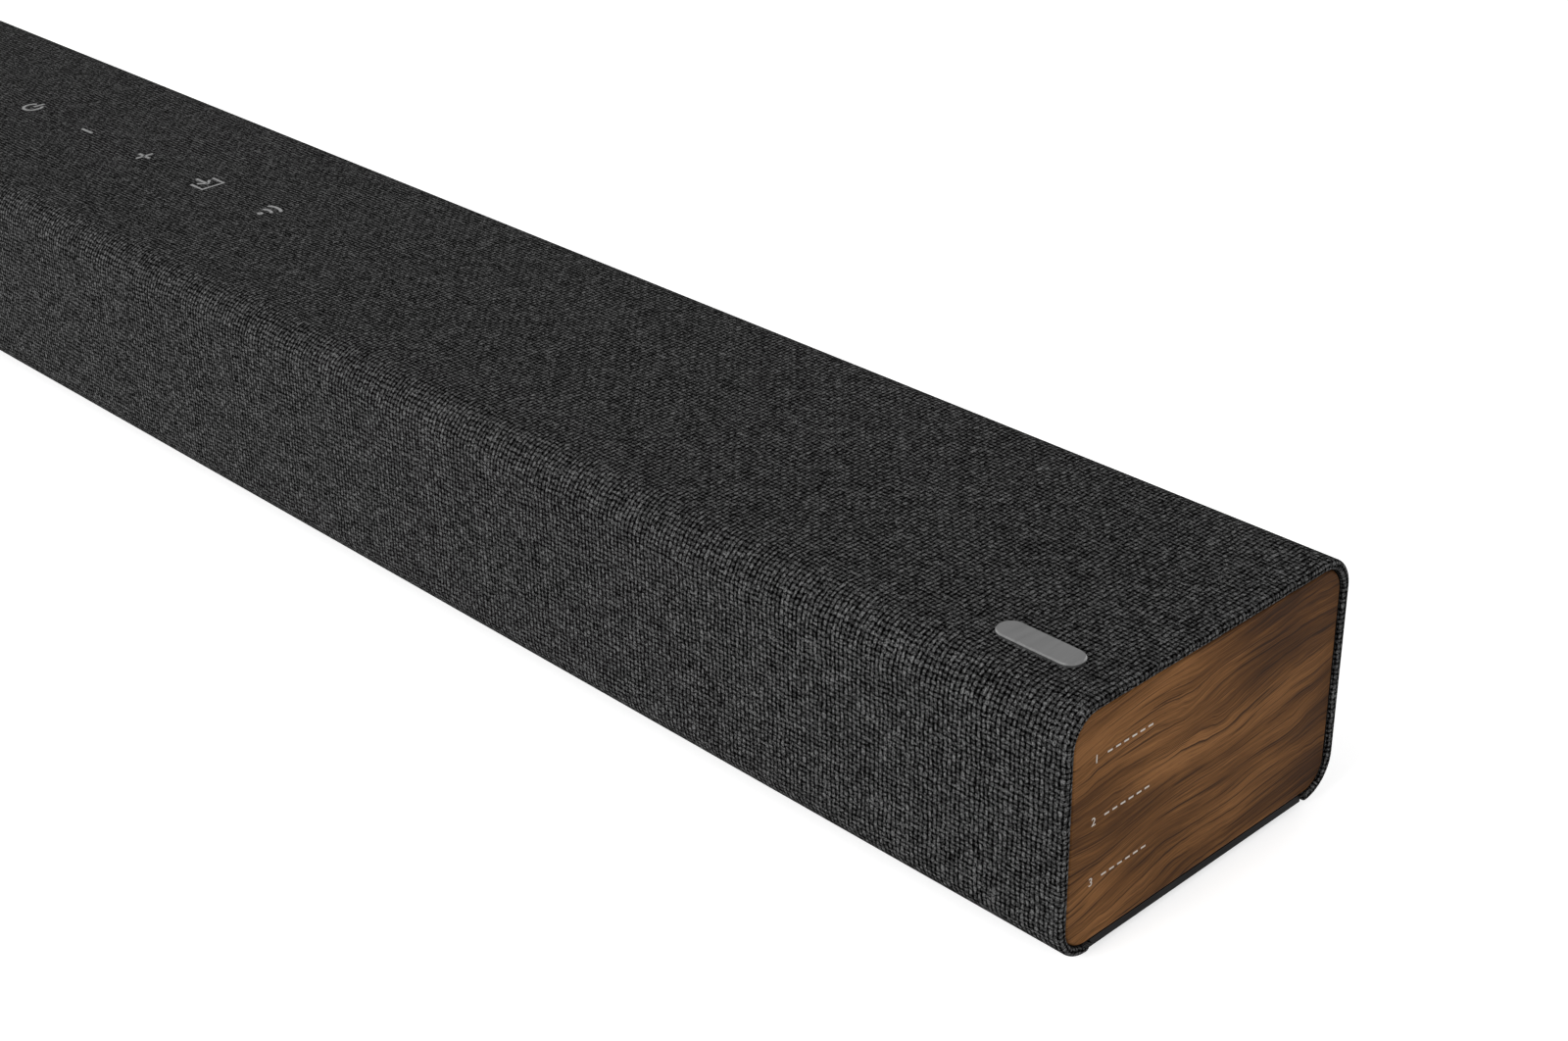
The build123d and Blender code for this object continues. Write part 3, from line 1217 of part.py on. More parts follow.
web_back = indicator_front + LED + LED_GAP
with BuildPart() as light_guide:
    with BuildSketch(Plane.XZ.offset(web_back)):
        with Locations((indicator_x, (indicator_heights[0] + indicator_heights[-1]) / 2)):
            Rectangle(INDICATOR_BOARD_WIDTH, indicator_heights[-1] - indicator_heights[0] + PIPE_HEIGHT)
    extrude(amount=PIPE_WEB)
    with BuildSketch(Plane.XZ.offset(web_back + PIPE_WEB)):
        with Locations(*[(indicator_x, height) for height in indicator_heights]):
            Rectangle(PIPE_WIDTH, PIPE_HEIGHT)
    extrude(amount=DEPTH / 2 - FABRIC - PIPE_UNDER_FABRIC - web_back - PIPE_WEB)
    with BuildSketch(Plane.XZ.offset(indicator_front)):
        with Locations((indicator_x, indicator_middle)):
            with GridLocations(GUIDE_LEG_SPACING, 1, 2, 1):
                Rectangle(GUIDE_LEG, GUIDE_LEG_HEIGHT)
    extrude(amount=web_back - indicator_front)
light_guide.part.label = "light_guide"
export_step(light_guide.part, "parts/light_guide.step")

with BuildPart() as ir_receiver:
    with BuildSketch(Plane.XZ.offset(indicator_front)):
        with Locations((indicator_x, receiver_z)):
            Rectangle(RECEIVER_WIDTH, RECEIVER_WIDTH)
    extrude(amount=RECEIVER_DEPTH)
    with BuildSketch(Plane.XZ.offset(indicator_front + RECEIVER_DEPTH)):
        with Locations((indicator_x, receiver_z)):
            RegularPolygon(RECEIVER_LENS, SMALL_SIDES)
    extrude(amount=RECEIVER_LENS / 2)
ir_receiver.part.label = "ir_receiver"
export_step(ir_receiver.part, "parts/ir_receiver.step")

with BuildPart() as board_screws:
    with BuildSketch(Plane.XY.offset(board_top)):
        with Locations(*board_hole_places):
            RegularPolygon(SMALL_HEAD_RADIUS, SMALL_SIDES)
    extrude(amount=SMALL_HEAD)
    with BuildSketch(Plane.XY.offset(board_top)):
        with Locations(*board_hole_places):
            RegularPolygon(SMALL_SCREW, SMALL_SIDES)
    extrude(amount=FIT - BOARD - SMALL_BITE)
    with BuildSketch(Plane.XZ.offset(indicator_front)):
        with Locations(*arm_places):
            RegularPolygon(SMALL_HEAD_RADIUS, SMALL_SIDES)
    extrude(amount=SMALL_HEAD)
    with BuildSketch(Plane.XZ.offset(indicator_front)):
        with Locations(*arm_places):
            RegularPolygon(SMALL_SCREW, SMALL_SIDES)
    extrude(amount=FIT - BOARD - SMALL_BITE)
board_screws.part.label = "board_screws"
export_step(board_screws.part, "parts/board_screws.step")

# Flat cable from the main board up to the key board
ribbon_low_y = board_front + RIBBON_FROM_BOARD_FRONT
ribbon_high_y = GUIDE_WIDTH / 2 - RIBBON_FROM_KEY_EDGE
ribbon_z = key_board_bottom - KEY_ROOM / 2
with BuildPart() as ribbon_cable:
    with BuildSketch(Plane.YZ.offset(RIBBON_X - RIBBON_WIDTH / 2)):
        with BuildLine():
            FilletPolyline(
                (ribbon_low_y, board_top),
                (ribbon_low_y, ribbon_z),
                (ribbon_high_y, ribbon_z),
                (ribbon_high_y, key_board_bottom),
                radius=RIBBON_BEND,
            )
        trace(line_width=RIBBON)
    extrude(amount=RIBBON_WIDTH)
ribbon_cable.part.label = "ribbon_cable"
export_step(ribbon_cable.part, "parts/ribbon_cable.step")

# Flat twin leads from the main board to the drivers' terminals
for side_name, side in SIDES:
    start_x = (left_lead_x if side < 0 else right_lead_x) + side * PLUG_HOUSING / 2
    terminal_x = side * (full_range_x - BASKET_HALF - TERMINAL / 2)
    with BuildPart() as speaker_lead:
        with BuildLine(Plane.XY.offset(lead_z)):
            FilletPolyline(
                (start_x, lead_y), (terminal_x, lead_y), (terminal_x, -plate_back), radius=LEAD_BEND
            )
        with BuildSketch(Plane((start_x, lead_y, lead_z), x_dir=(0, 1, 0), z_dir=(side, 0, 0))):
            Rectangle(LEAD_WIDTH, LEAD_HEIGHT)
        sweep()
    speaker_lead.part.label = f"speaker_lead_{side_name}"
    export_step(speaker_lead.part, f"parts/speaker_lead_{side_name}.step")

with BuildPart() as woofer_lead:
    with BuildSketch(Plane.XZ.offset(plate_back)):
        with Locations((woofer_lead_x, lead_z)):
            Rectangle(LEAD_WIDTH, LEAD_HEIGHT)
    extrude(amount=-(plate_back + lead_y - PLUG_HOUSING / 2))
woofer_lead.part.label = "woofer_lead"
export_step(woofer_lead.part, "parts/woofer_lead.step")
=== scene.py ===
import json
import math

import bmesh
import bpy
from mathutils import Matrix, Vector


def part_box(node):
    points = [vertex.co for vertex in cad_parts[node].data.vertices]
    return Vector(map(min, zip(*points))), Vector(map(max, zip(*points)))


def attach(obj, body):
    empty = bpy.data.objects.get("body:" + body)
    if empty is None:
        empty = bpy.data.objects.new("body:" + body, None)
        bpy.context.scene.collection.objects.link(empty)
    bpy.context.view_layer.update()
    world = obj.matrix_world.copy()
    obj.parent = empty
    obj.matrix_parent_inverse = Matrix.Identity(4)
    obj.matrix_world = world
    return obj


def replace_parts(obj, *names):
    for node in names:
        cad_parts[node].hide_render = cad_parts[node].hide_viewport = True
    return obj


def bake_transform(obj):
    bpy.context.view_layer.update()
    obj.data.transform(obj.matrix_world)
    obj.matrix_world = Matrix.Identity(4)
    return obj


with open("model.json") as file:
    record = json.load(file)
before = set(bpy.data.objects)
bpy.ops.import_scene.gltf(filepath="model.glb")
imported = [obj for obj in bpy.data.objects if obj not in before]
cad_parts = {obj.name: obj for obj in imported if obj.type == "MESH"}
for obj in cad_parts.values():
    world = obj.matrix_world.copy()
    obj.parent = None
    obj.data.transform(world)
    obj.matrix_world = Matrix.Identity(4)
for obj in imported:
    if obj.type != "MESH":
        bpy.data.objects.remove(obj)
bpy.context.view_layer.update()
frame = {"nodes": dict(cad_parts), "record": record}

# The looks of a fabric-wrapped soundbar with walnut end panels. Metres, in the frame of the CAD model.
NODES = frame["nodes"]
SCENE = bpy.context.scene
SCENE.view_settings.view_transform = "Standard"
MM = 0.001


# Colours and node graphs
WHITE = (1.0, 1.0, 1.0, 1.0)
NOISE_LOW = 0.3
NOISE_HIGH = 0.7


def srgb(red, green, blue):
    """Linear colour with alpha from 0-255 display values."""
    linear = []
    for value in (red, green, blue):
        value /= 255.0
        linear.append(value / 12.92 if value <= 0.04045 else ((value + 0.055) / 1.055) ** 2.4)
    return (*linear, 1.0)


def grey(level):
    return srgb(level, level, level)


class Graph:
    """Fills the node tree of a material or a world, which starts empty."""

    def __init__(self, owner):
        owner.use_nodes = True
        self.tree = owner.node_tree
        self.tree.nodes.clear()

    def put(self, value, socket):
        """Links an output to a socket, or sets a plain value on it."""
        if isinstance(value, bpy.types.NodeSocket):
            self.tree.links.new(value, socket)
        else:
            socket.default_value = value

    def node(self, kind, *values, **named):
        """A new node, with its first inputs given in order and others by name."""
        node = self.tree.nodes.new(f"ShaderNode{kind}")
        for value, socket in zip(values, node.inputs):
            self.put(value, socket)
        for name, value in named.items():
            self.put(value, node.inputs[name])
        return node

    def math(self, operation, *values):
        node = self.node("Math", *values)
        node.operation = operation
        return node.outputs[0]

    def add(self, first, second):
        return self.math("ADD", first, second)

    def times(self, first, second):
        return self.math("MULTIPLY", first, second)

    def object_place(self):
        return self.node("TexCoord").outputs["Object"]

    def attribute(self, name):
        node = self.node("Attribute")
        node.attribute_name = name
        return node.outputs["Vector"]

    def split(self, vector):
        return self.node("SeparateXYZ", vector).outputs

    def join(self, x, y, z=0.0):
        return self.node("CombineXYZ", x, y, z).outputs[0]

    def stretch(self, vector, scale, move=(0.0, 0.0, 0.0)):
        return self.node("Mapping", vector, Scale=scale, Location=move).outputs[0]

    def noise(self, vector, scale=1.0, detail=2.0, roughness=0.5):
        return self.node("TexNoise", vector, Scale=scale, Detail=detail, Roughness=roughness).outputs[0]

    def streaks(self, place, length, height, seed=(0.0, 0.0), detail=2.0, roughness=0.5):
        """Noise whose marks have a length along X and a height along Y."""
        drawn = self.stretch(place, (1 / length, 1 / height, 1.0), (*seed, 0.0))
        return self.noise(drawn, detail=detail, roughness=roughness)

    def swing(self, noise, amount):
        """A noise made to swing about zero."""
        return self.times(self.add(noise, -0.5), amount)

    def fit(self, value, low, high, new_low=0.0, new_high=1.0):
        return self.node("MapRange", value, low, high, new_low, new_high).outputs[0]

    def spread(self, noise, low, high):
        """A noise fitted to a range."""
        return self.fit(noise, NOISE_LOW, NOISE_HIGH, low, high)

    def ramp(self, factor, *stops):
        node = self.node("ValToRGB", factor)
        elements = node.color_ramp.elements
        while len(elements) < len(stops):
            elements.new(0.5)
        for element, (place, colour) in zip(elements, stops):
            element.position = place
            element.color = colour
        return node.outputs[0]

    def mix(self, factor, first, second):
        """Blend of two colours."""
        node = self.node("Mix", factor)
        node.data_type = "RGBA"
        self.put(first, node.inputs[6])
        self.put(second, node.inputs[7])
        return node.outputs[2]

    def choose(self, factor, first, second):
        """Blend of two numbers."""
        node = self.node("Mix", factor)
        self.put(first, node.inputs[2])
        self.put(second, node.inputs[3])
        return node.outputs[0]


class Surface(Graph):
    """A material with a Principled shader at its end."""

    def __init__(self, name):
        self.material = bpy.data.materials.new(name)
        super().__init__(self.material)
        self.shader = self.node("BsdfPrincipled")
        self.node("OutputMaterial", self.shader.outputs["BSDF"])

    def set(self, **values):
        for name, value in values.items():
            self.put(value, self.shader.inputs[name.replace("_", " ")])

    def bump(self, height, strength, distance):
        node = self.node("Bump", Strength=strength, Distance=distance, Height=height)
        self.put(node.outputs[0], self.shader.inputs["Normal"])


# Weave of the cloth. Its lengths are in threads, apart from the pitch and the relief.
THREAD_PITCH = 1.3 * MM
WANDER = 1.1
WANDER_SCALE = (0.23, 0.23, 1.0)
ALONG_SEED = (31.0, 17.0, 0.0)
THREAD_SEED = 7.31
TONE_SCALE = 0.3
SLUB_SCALE = (1.0, 1.5, 1.0)
SLUB_SEED = (5.0, 3.0, 9.0)
THIN_HALF = 0.31
THICK_HALF = 0.54
SHOULDER = 4.0
DRIFT = 1.1
DRIFT_SCALE = (1.0, 2.4, 1.0)
DRIFT_SEED = (13.0, 7.0, 4.0)
CROSSING_CLIP = 0.75
CROSSING_RISE = 0.3
WARP_LEAD = 0.12
LOWEST = -0.3
HIGHEST = 1.44
DARK_THREAD = 0.82
LIGHT_THREAD = 1.08
FIBRE_SCALE = 3.4
DARK_FIBRE = 0.54
LIGHT_FIBRE = 1.34
FIBRE_RELIEF = 0.2
CLOTH_BUMP = 0.9
CLOTH_RELIEF = 0.7 * MM
# Weave colour by height: near black in the holes and at the threads' sides, bright on their crowns. This is
# painted shade and painted highlight over the threads' own charcoal tones.
WEAVE_TONES_AND_PAINTED_SHADE = ((0.38, grey(1)), (0.52, grey(9)), (0.67, grey(39)), (0.88, grey(76)), (1.0, grey(118)))


def wandered(graph, count, threads, seed=(0.0, 0.0, 0.0)):
    """A count of threads that strays a little from straight."""
    shift = graph.noise(graph.stretch(threads, WANDER_SCALE, seed))
    return graph.add(count, graph.swing(shift, WANDER))


def thread_layer(graph, own, other, phase, lead):
    """Height and tone of the threads that run one way. own counts them, and other runs along them."""
    number = graph.math("FLOOR", own)
    middle = graph.add(graph.math("FRACT", own), -0.5)
    run = graph.join(graph.times(number, THREAD_SEED), graph.times(other, TONE_SCALE), phase)
    tone = graph.noise(run, roughness=0.6)
    slub = graph.noise(graph.stretch(run, SLUB_SCALE, SLUB_SEED), detail=1.0)
    off = graph.math("DIVIDE", middle, graph.spread(slub, THIN_HALF, THICK_HALF))
    side = graph.math("POWER", graph.math("ABSOLUTE", off), SHOULDER)
    drift = graph.noise(graph.stretch(run, DRIFT_SCALE, DRIFT_SEED), detail=1.0)
    turn = graph.add(graph.swing(drift, DRIFT), graph.add(number, other))
    rise = graph.math("COSINE", graph.math("MULTIPLY_ADD", turn, math.pi, phase - math.pi / 2))
    rise = graph.fit(rise, -CROSSING_CLIP, CROSSING_CLIP, lead - CROSSING_RISE, lead + CROSSING_RISE)
    return graph.add(rise, graph.math("SUBTRACT", 1.0, side)), tone


def weave(graph, across, along):
    """Height and tone of a slubby plain weave. Both inputs count threads."""
    threads = graph.join(across, along)
    across = wandered(graph, across, threads)
    along = wandered(graph, along, threads, ALONG_SEED)
    warp, warp_tone = thread_layer(graph, across, along, 0.0, WARP_LEAD)
    weft, weft_tone = thread_layer(graph, along, across, math.pi, 0.0)
    top = graph.math("MAXIMUM", warp, weft)
    tone = graph.choose(graph.math("GREATER_THAN", warp, weft), weft_tone, warp_tone)
    return graph.fit(top, LOWEST, HIGHEST), tone


def fabric_material():
    """Charcoal cloth, whose threads follow the sleeve's own attribute of places on the flat cloth. Its colour
    carries painted shade in the holes and at the threads' sides, and painted highlight on their crowns.
    """
    graph = Surface("charcoal_weave")
    place = graph.split(graph.attribute("cloth"))
    across = graph.times(place[0], 1 / THREAD_PITCH)
    along = graph.times(place[1], 1 / THREAD_PITCH)
    height, tone = weave(graph, across, along)
    fibre = graph.noise(graph.join(across, along), FIBRE_SCALE, detail=3.0, roughness=0.75)
    # Painted shade and painted highlight: the weave's height darkens its holes and thread sides and lightens
    # the crowns.
    light = graph.times(height, graph.spread(tone, DARK_THREAD, LIGHT_THREAD))
    light = graph.times(light, graph.spread(fibre, DARK_FIBRE, LIGHT_FIBRE))
    graph.set(Base_Color=graph.ramp(light, *WEAVE_TONES_AND_PAINTED_SHADE), Roughness=0.95, Specular_IOR_Level=0.0)
    graph.bump(graph.add(height, graph.times(fibre, FIBRE_RELIEF)), CLOTH_BUMP, CLOTH_RELIEF)
    return graph.material


# Figure of the walnut. Its lengths are in millimetres on the panel, apart from the relief.
LEFT_PANEL_SHIFT = 310.0
GRAIN_SLOPE = -0.06
SWEEP = 14.0
RIPPLE = 3.4
CALM = 0.35
LIVELY = 0.65
RING_SPACING = 3.4
RING_DRIFT = 2.2
RING_DRIFT_HEIGHT = 9.0
LATE_START = 0.74
LATE_FULL = 0.95
LATE_END = 0.96
LATE_SHARPNESS = 2.2
GATE_SHUT = 0.44
GATE_OPEN = 0.56
STREAK_START = 0.62
STREAK_FULL = 0.69
STREAK_STRENGTH = 0.75
PORE_START = 0.6
PORE_FULL = 0.72
MIDDLE_SHADE = 0.54
BAND_SHADE = 0.9
CLOUD_SHADE = 0.65
FINE_SHADE = 0.45
FIBRE_SHADE = 1.0
# Painted shade: the wood is darkened towards the panel's front and back edges, and more towards the back.
PAINTED_EDGE_SHADE = -0.00005
PAINTED_BACK_SHADE = -0.0026
WOOD_TONES = (
    (0.14, srgb(50, 29, 12)),
    (0.38, srgb(78, 50, 25)),
    (0.58, srgb(103, 69, 38)),
    (0.84, srgb(134, 93, 56)),
)
LATE_COLOUR = srgb(26, 14, 7)
PORE_COLOUR = srgb(40, 25, 15)
PORE_TINT = 0.45
OILED_ROUGHNESS = 0.5
DRY_ROUGHNESS = 0.62
FIBRE_RISE = 0.5
PORE_DENT = 0.8
LATE_DENT = 0.4
WOOD_BUMP = 0.18
WOOD_RELIEF = 0.12 * MM


def grain_level(graph, along, up):
    """Height across the grain, which sweeps and in places ripples along it."""
    flat = graph.join(along, up)
    sweep = graph.streaks(flat, length=52, height=24, detail=1.0)
    ripple = graph.streaks(flat, length=11, height=8, seed=(3.0, 8.0))
    lively = graph.fit(graph.streaks(flat, length=30, height=16, seed=(7.0, 2.0)), CALM, LIVELY)
    level = graph.math("MULTIPLY_ADD", along, GRAIN_SLOPE, up)
    level = graph.add(level, graph.swing(sweep, SWEEP))
    return graph.add(level, graph.times(graph.swing(ripple, RIPPLE), lively))


def late_wood(graph, grain, level):
    """Dark lines: the late edge of some growth rings, and thin streaks between them."""
    drift = graph.noise(graph.join(0.0, graph.times(level, 1 / RING_DRIFT_HEIGHT)), detail=1.0)
    rings = graph.math("MULTIPLY_ADD", drift, RING_DRIFT, graph.times(level, 1 / RING_SPACING))
    ring = graph.math("FRACT", rings)
    late = graph.math("POWER", graph.fit(ring, LATE_START, LATE_FULL), LATE_SHARPNESS)
    late = graph.times(late, graph.fit(ring, LATE_END, 1.0, 1.0, 0.0))
    gate = graph.streaks(grain, length=42, height=6, seed=(9.0, 5.0))
    late = graph.times(late, graph.fit(gate, GATE_SHUT, GATE_OPEN))
    streak = graph.streaks(grain, length=30, height=0.8, seed=(6.0, 3.0), detail=1.0)
    streak = graph.fit(streak, STREAK_START, STREAK_FULL, 0.0, STREAK_STRENGTH)
    return graph.math("MAXIMUM", late, streak)


def wood_shade(graph, grain, fibre, across):
    """Light and dark of the wood between its lines, with painted shade towards the panel's front and back
    edges and more towards the back. across is the place from front to back.
    """
    bands = graph.streaks(grain, length=90, height=8, seed=(1.0, 7.0), detail=1.0)
    cloud = graph.streaks(grain, length=45, height=24, seed=(5.0, 1.0), detail=1.0)
    fine = graph.streaks(grain, length=48, height=1.3, seed=(4.0, 2.0), roughness=0.6)
    shade = graph.add(graph.swing(bands, BAND_SHADE), MIDDLE_SHADE)
    shade = graph.add(shade, graph.swing(cloud, CLOUD_SHADE))
    shade = graph.add(shade, graph.swing(fine, FINE_SHADE))
    shade = graph.add(shade, graph.swing(fibre, FIBRE_SHADE))
    # Painted shade: darker towards the panel's front and back edges, and more towards the back.
    shade = graph.math("MULTIPLY_ADD", graph.times(across, across), PAINTED_EDGE_SHADE, shade)
    return graph.math("MULTIPLY_ADD", across, PAINTED_BACK_SHADE, shade)


def wood_material():
    """Oiled walnut: wavy growth rings along Y, fine fibres and short pores."""
    graph = Surface("oiled_walnut")
    x, y, z = graph.split(graph.stretch(graph.object_place(), (1 / MM, 1 / MM, 1 / MM)))
    along = graph.math("MULTIPLY_ADD", graph.math("LESS_THAN", x, 0.0), LEFT_PANEL_SHIFT, y)
    level = grain_level(graph, along, z)
    grain = graph.join(along, level)
    late = late_wood(graph, grain, level)
    fibre = graph.streaks(grain, length=14, height=0.32, roughness=0.65)
    pore = graph.streaks(grain, length=3.5, height=0.26, seed=(2.0, 8.0))
    pore = graph.fit(pore, PORE_START, PORE_FULL)
    colour = graph.ramp(wood_shade(graph, grain, fibre, y), *WOOD_TONES)
    colour = graph.mix(late, colour, LATE_COLOUR)
    colour = graph.mix(graph.times(pore, PORE_TINT), colour, PORE_COLOUR)
    roughness = graph.spread(fibre, OILED_ROUGHNESS, DRY_ROUGHNESS)
    graph.set(Base_Color=colour, Roughness=roughness, Specular_IOR_Level=0.04)
    dents = graph.add(graph.times(pore, PORE_DENT), graph.times(late, LATE_DENT))
    graph.bump(graph.math("SUBTRACT", graph.times(fibre, FIBRE_RISE), dents), WOOD_BUMP, WOOD_RELIEF)
    return graph.material


# Plain materials
CLOUD_SCALE = 60.0
MOULD_SHEEN = 0.06
MOULD_RELIEF = 0.1 * MM
BRUSH_SHEEN = 0.08
BRUSH_BUMP = 0.1
BRUSH_RELIEF = 0.05 * MM


def tones(colour, spread):
    """Stops for a ramp from a darker to a lighter tone of a colour, over the range of a noise."""
    dark = tuple(part * (1.0 - spread) for part in colour[:3])
    light = tuple(min(1.0, part * (1.0 + spread)) for part in colour[:3])
    return (NOISE_LOW, (*dark, 1.0)), (NOISE_HIGH, (*light, 1.0))


def moulded(name, colour, roughness, grain=2600.0, depth=0.12, spread=0.14, gloss=0.4):
    """Moulded plastic or rubber with a fine spark texture and a slight unevenness of tone."""
    graph = Surface(name)
    place = graph.object_place()
    spark = graph.noise(place, grain, roughness=0.6)
    cloud = graph.noise(place, CLOUD_SCALE, detail=3.0)
    tone = graph.times(graph.add(spark, cloud), 0.5)
    graph.set(
        Base_Color=graph.ramp(tone, *tones(colour, spread)),
        Roughness=graph.spread(cloud, roughness - MOULD_SHEEN, roughness + MOULD_SHEEN),
        Specular_IOR_Level=gloss,
    )
    graph.bump(spark, depth, MOULD_RELIEF)
    return graph.material


def metal(name, colour, roughness, brushing=(40.0, 2400.0, 2400.0), spread=0.12):
    """Metal with fine brushing along the axis that has the lowest scale."""
    graph = Surface(name)
    brush = graph.noise(graph.stretch(graph.object_place(), brushing), detail=3.0, roughness=0.6)
    graph.set(
        Base_Color=graph.ramp(brush, *tones(colour, spread)),
        Roughness=graph.spread(brush, roughness - BRUSH_SHEEN, roughness + BRUSH_SHEEN),
        Metallic=1.0,
    )
    graph.bump(brush, BRUSH_BUMP, BRUSH_RELIEF)
    return graph.material


MATERIALS = {
    "fabric": fabric_material(),
    "wood": wood_material(),
    "badge_metal": metal("satin_grey_badge", grey(106), 0.5, brushing=(900.0, 60.0, 900.0)),
    "shell_plastic": moulded("black_spark_plastic", srgb(11, 11, 12), 0.65, gloss=0.1),
    "key_plastic": moulded("key_plastic", srgb(38, 38, 39), 0.5),
    "box_plastic": moulded("box_plastic", srgb(40, 40, 41), 0.6),
    "rubber": moulded("black_rubber", grey(28), 0.78, grain=3400.0, depth=0.3),
    "foam": moulded("grey_foam", grey(58), 0.9, grain=1500.0, depth=0.8, spread=0.3),
    "brass": metal("turned_brass", srgb(190, 152, 84), 0.3),
    "steel": metal("black_zinc_steel", srgb(92, 92, 94), 0.38),
    "pressed_steel": moulded("satin_black_paint", srgb(36, 36, 37), 0.38, grain=1800.0, depth=0.06),
    "socket_metal": metal("tin_plate", srgb(196, 194, 188), 0.28, brushing=(300.0, 1800.0, 1800.0)),
    "ferrite": moulded("ferrite", srgb(66, 66, 68), 0.7, grain=1400.0, depth=0.3),
    "cone_paper": moulded("pressed_paper", srgb(34, 34, 35), 0.85, grain=900.0, depth=0.5, spread=0.25),
    "spider_cloth": moulded("doped_cloth", srgb(178, 128, 58), 0.8, grain=1200.0, depth=0.6, spread=0.2),
    "circuit_board": moulded("solder_mask", srgb(24, 84, 52), 0.35, grain=900.0, depth=0.1, spread=0.25),
    "aluminium": metal("extruded_aluminium", srgb(196, 197, 200), 0.34, brushing=(40.0, 40.0, 2400.0)),
    "socket_plastic": moulded("black_gloss_plastic", grey(26), 0.3, grain=2000.0, depth=0.04),
    "clear_plastic": moulded(
        "frosted_clear_plastic", srgb(212, 216, 220), 0.3, grain=1200.0, depth=0.08, spread=0.05
    ),
    "lamp": moulded("lamp_package", srgb(224, 220, 200), 0.4, grain=1600.0, depth=0.08, spread=0.06),
    "lead": moulded("red_and_black_lead", srgb(96, 26, 26), 0.5, grain=1500.0, depth=0.1, spread=0.2),
    "ribbon": moulded("flat_cable", srgb(206, 206, 202), 0.45, grain=1500.0, depth=0.1, spread=0.08),
    "print": moulded("light_grey_print", srgb(196, 190, 182), 0.6, grain=3000.0, depth=0.1, spread=0.1),
    "cloth_print": moulded(
        "grey_cloth_print", grey(150), 0.8, grain=1500.0, depth=0.5, spread=0.3, gloss=0.1
    ),
}
for part in frame["record"]["subparts"]:
    mesh = NODES[part["node"]].data
    mesh.materials.clear()
    mesh.materials.append(MATERIALS[part["material_slot"]])


# Helpers for shapes
SOFT_CREASE = 40.0
HARD_CREASE = 35.0
WELD = 0.0001 * MM
MICROMETRE_DIGITS = 6


def placed(name, data):
    """A new object in the scene."""
    holder = bpy.data.objects.new(name, data)
    SCENE.collection.objects.link(holder)
    return holder


def add_piece(name, mesh, slot):
    """A piece that rides the chassis. Ink has no slot in the record."""
    piece = placed(name, mesh)
    mesh.materials.clear()
    mesh.materials.append(MATERIALS[slot])
    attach(piece, "chassis")
    return piece


def mesh_from(name, work):
    """A new mesh from worked faces."""
    mesh = bpy.data.meshes.new(name)
    work.to_mesh(mesh)
    work.free()
    return mesh


def closed_mesh(name, work):
    """A new mesh from worked faces that close, all of them turned outwards."""
    bmesh.ops.recalc_face_normals(work, faces=work.faces[:])
    return mesh_from(name, work)


def baked(holder):
    """The mesh of a scratch object with its modifiers applied. The object is used up."""
    graph = bpy.context.evaluated_depsgraph_get()
    mesh = bpy.data.meshes.new_from_object(holder.evaluated_get(graph))
    bpy.data.objects.remove(holder)
    return mesh


def cut_away(holder, cutter, crossed=False):
    """The mesh of a scratch object with a cutter taken out of it. A crossed cutter passes through itself."""
    cut = holder.modifiers.new("cut", "BOOLEAN")
    cut.operation = "DIFFERENCE"
    cut.solver = "EXACT"
    cut.use_self = crossed
    cut.object = cutter
    mesh = baked(holder)
    bpy.data.objects.remove(cutter)
    return mesh


def smooth_by_angle(mesh, degrees):
    """Smooth shading, with edges sharper than the angle kept crisp."""
    work = bmesh.new()
    work.from_mesh(mesh)
    for face in work.faces:
        face.smooth = True
    for edge in work.edges:
        edge.smooth = len(edge.link_faces) == 2 and edge.calc_face_angle(0.0) < math.radians(degrees)
    work.to_mesh(mesh)
    work.free()


def corners_of(points):
    """Lowest and highest corner of a group of points."""
    low = Vector([min(point[i] for point in points) for i in range(3)])
    high = Vector([max(point[i] for point in points) for i in range(3)])
    return low, high


def solids(mesh):
    """The corners of each separate solid of a mesh."""
    work = bmesh.new()
    work.from_mesh(mesh)
    bmesh.ops.remove_doubles(work, verts=work.verts[:], dist=WELD)
    work.verts.ensure_lookup_table()
    seen = [False] * len(work.verts)
    groups = []
    for first in work.verts:
        if seen[first.index]:
            continue
        seen[first.index] = True
        waiting, group = [first], []
        while waiting:
            vertex = waiting.pop()
            group.append(vertex.co.copy())
            for edge in vertex.link_edges:
                other = edge.other_vert(vertex)
                if not seen[other.index]:
                    seen[other.index] = True
                    waiting.append(other)
        groups.append(group)
    work.free()
    return groups


def skin(work, rings, closed=False):
    """Faces from each ring of points to the next. The ends are capped, or joined where the rings close."""
    rows = [[work.verts.new(point) for point in ring] for ring in rings]
    pairs = list(zip(rows, rows[1:]))
    if closed:
        pairs.append((rows[-1], rows[0]))
    else:
        work.faces.new(rows[0])
        work.faces.new(rows[-1][::-1])
    for row, after in pairs:
        for step in range(len(row)):
            other = (step + 1) % len(row)
            work.faces.new((row[step], after[step], after[other], row[other]))
    return [vertex for row in rows for vertex in row]


def arc(centre, radius, start, end, steps):
    """Points on an arc in a plane, with angles in degrees from its first axis towards its second."""
    points = []
    for step in range(steps + 1):
        angle = math.radians(start + (end - start) * step / steps)
        points.append((centre[0] + radius * math.cos(angle), centre[1] + radius * math.sin(angle)))
    return points


def between(first, last, steps):
    """Points strictly between two points."""
    points = []
    for step in range(1, steps):
        points.append(tuple(a + (b - a) * step / steps for a, b in zip(first, last)))
    return points


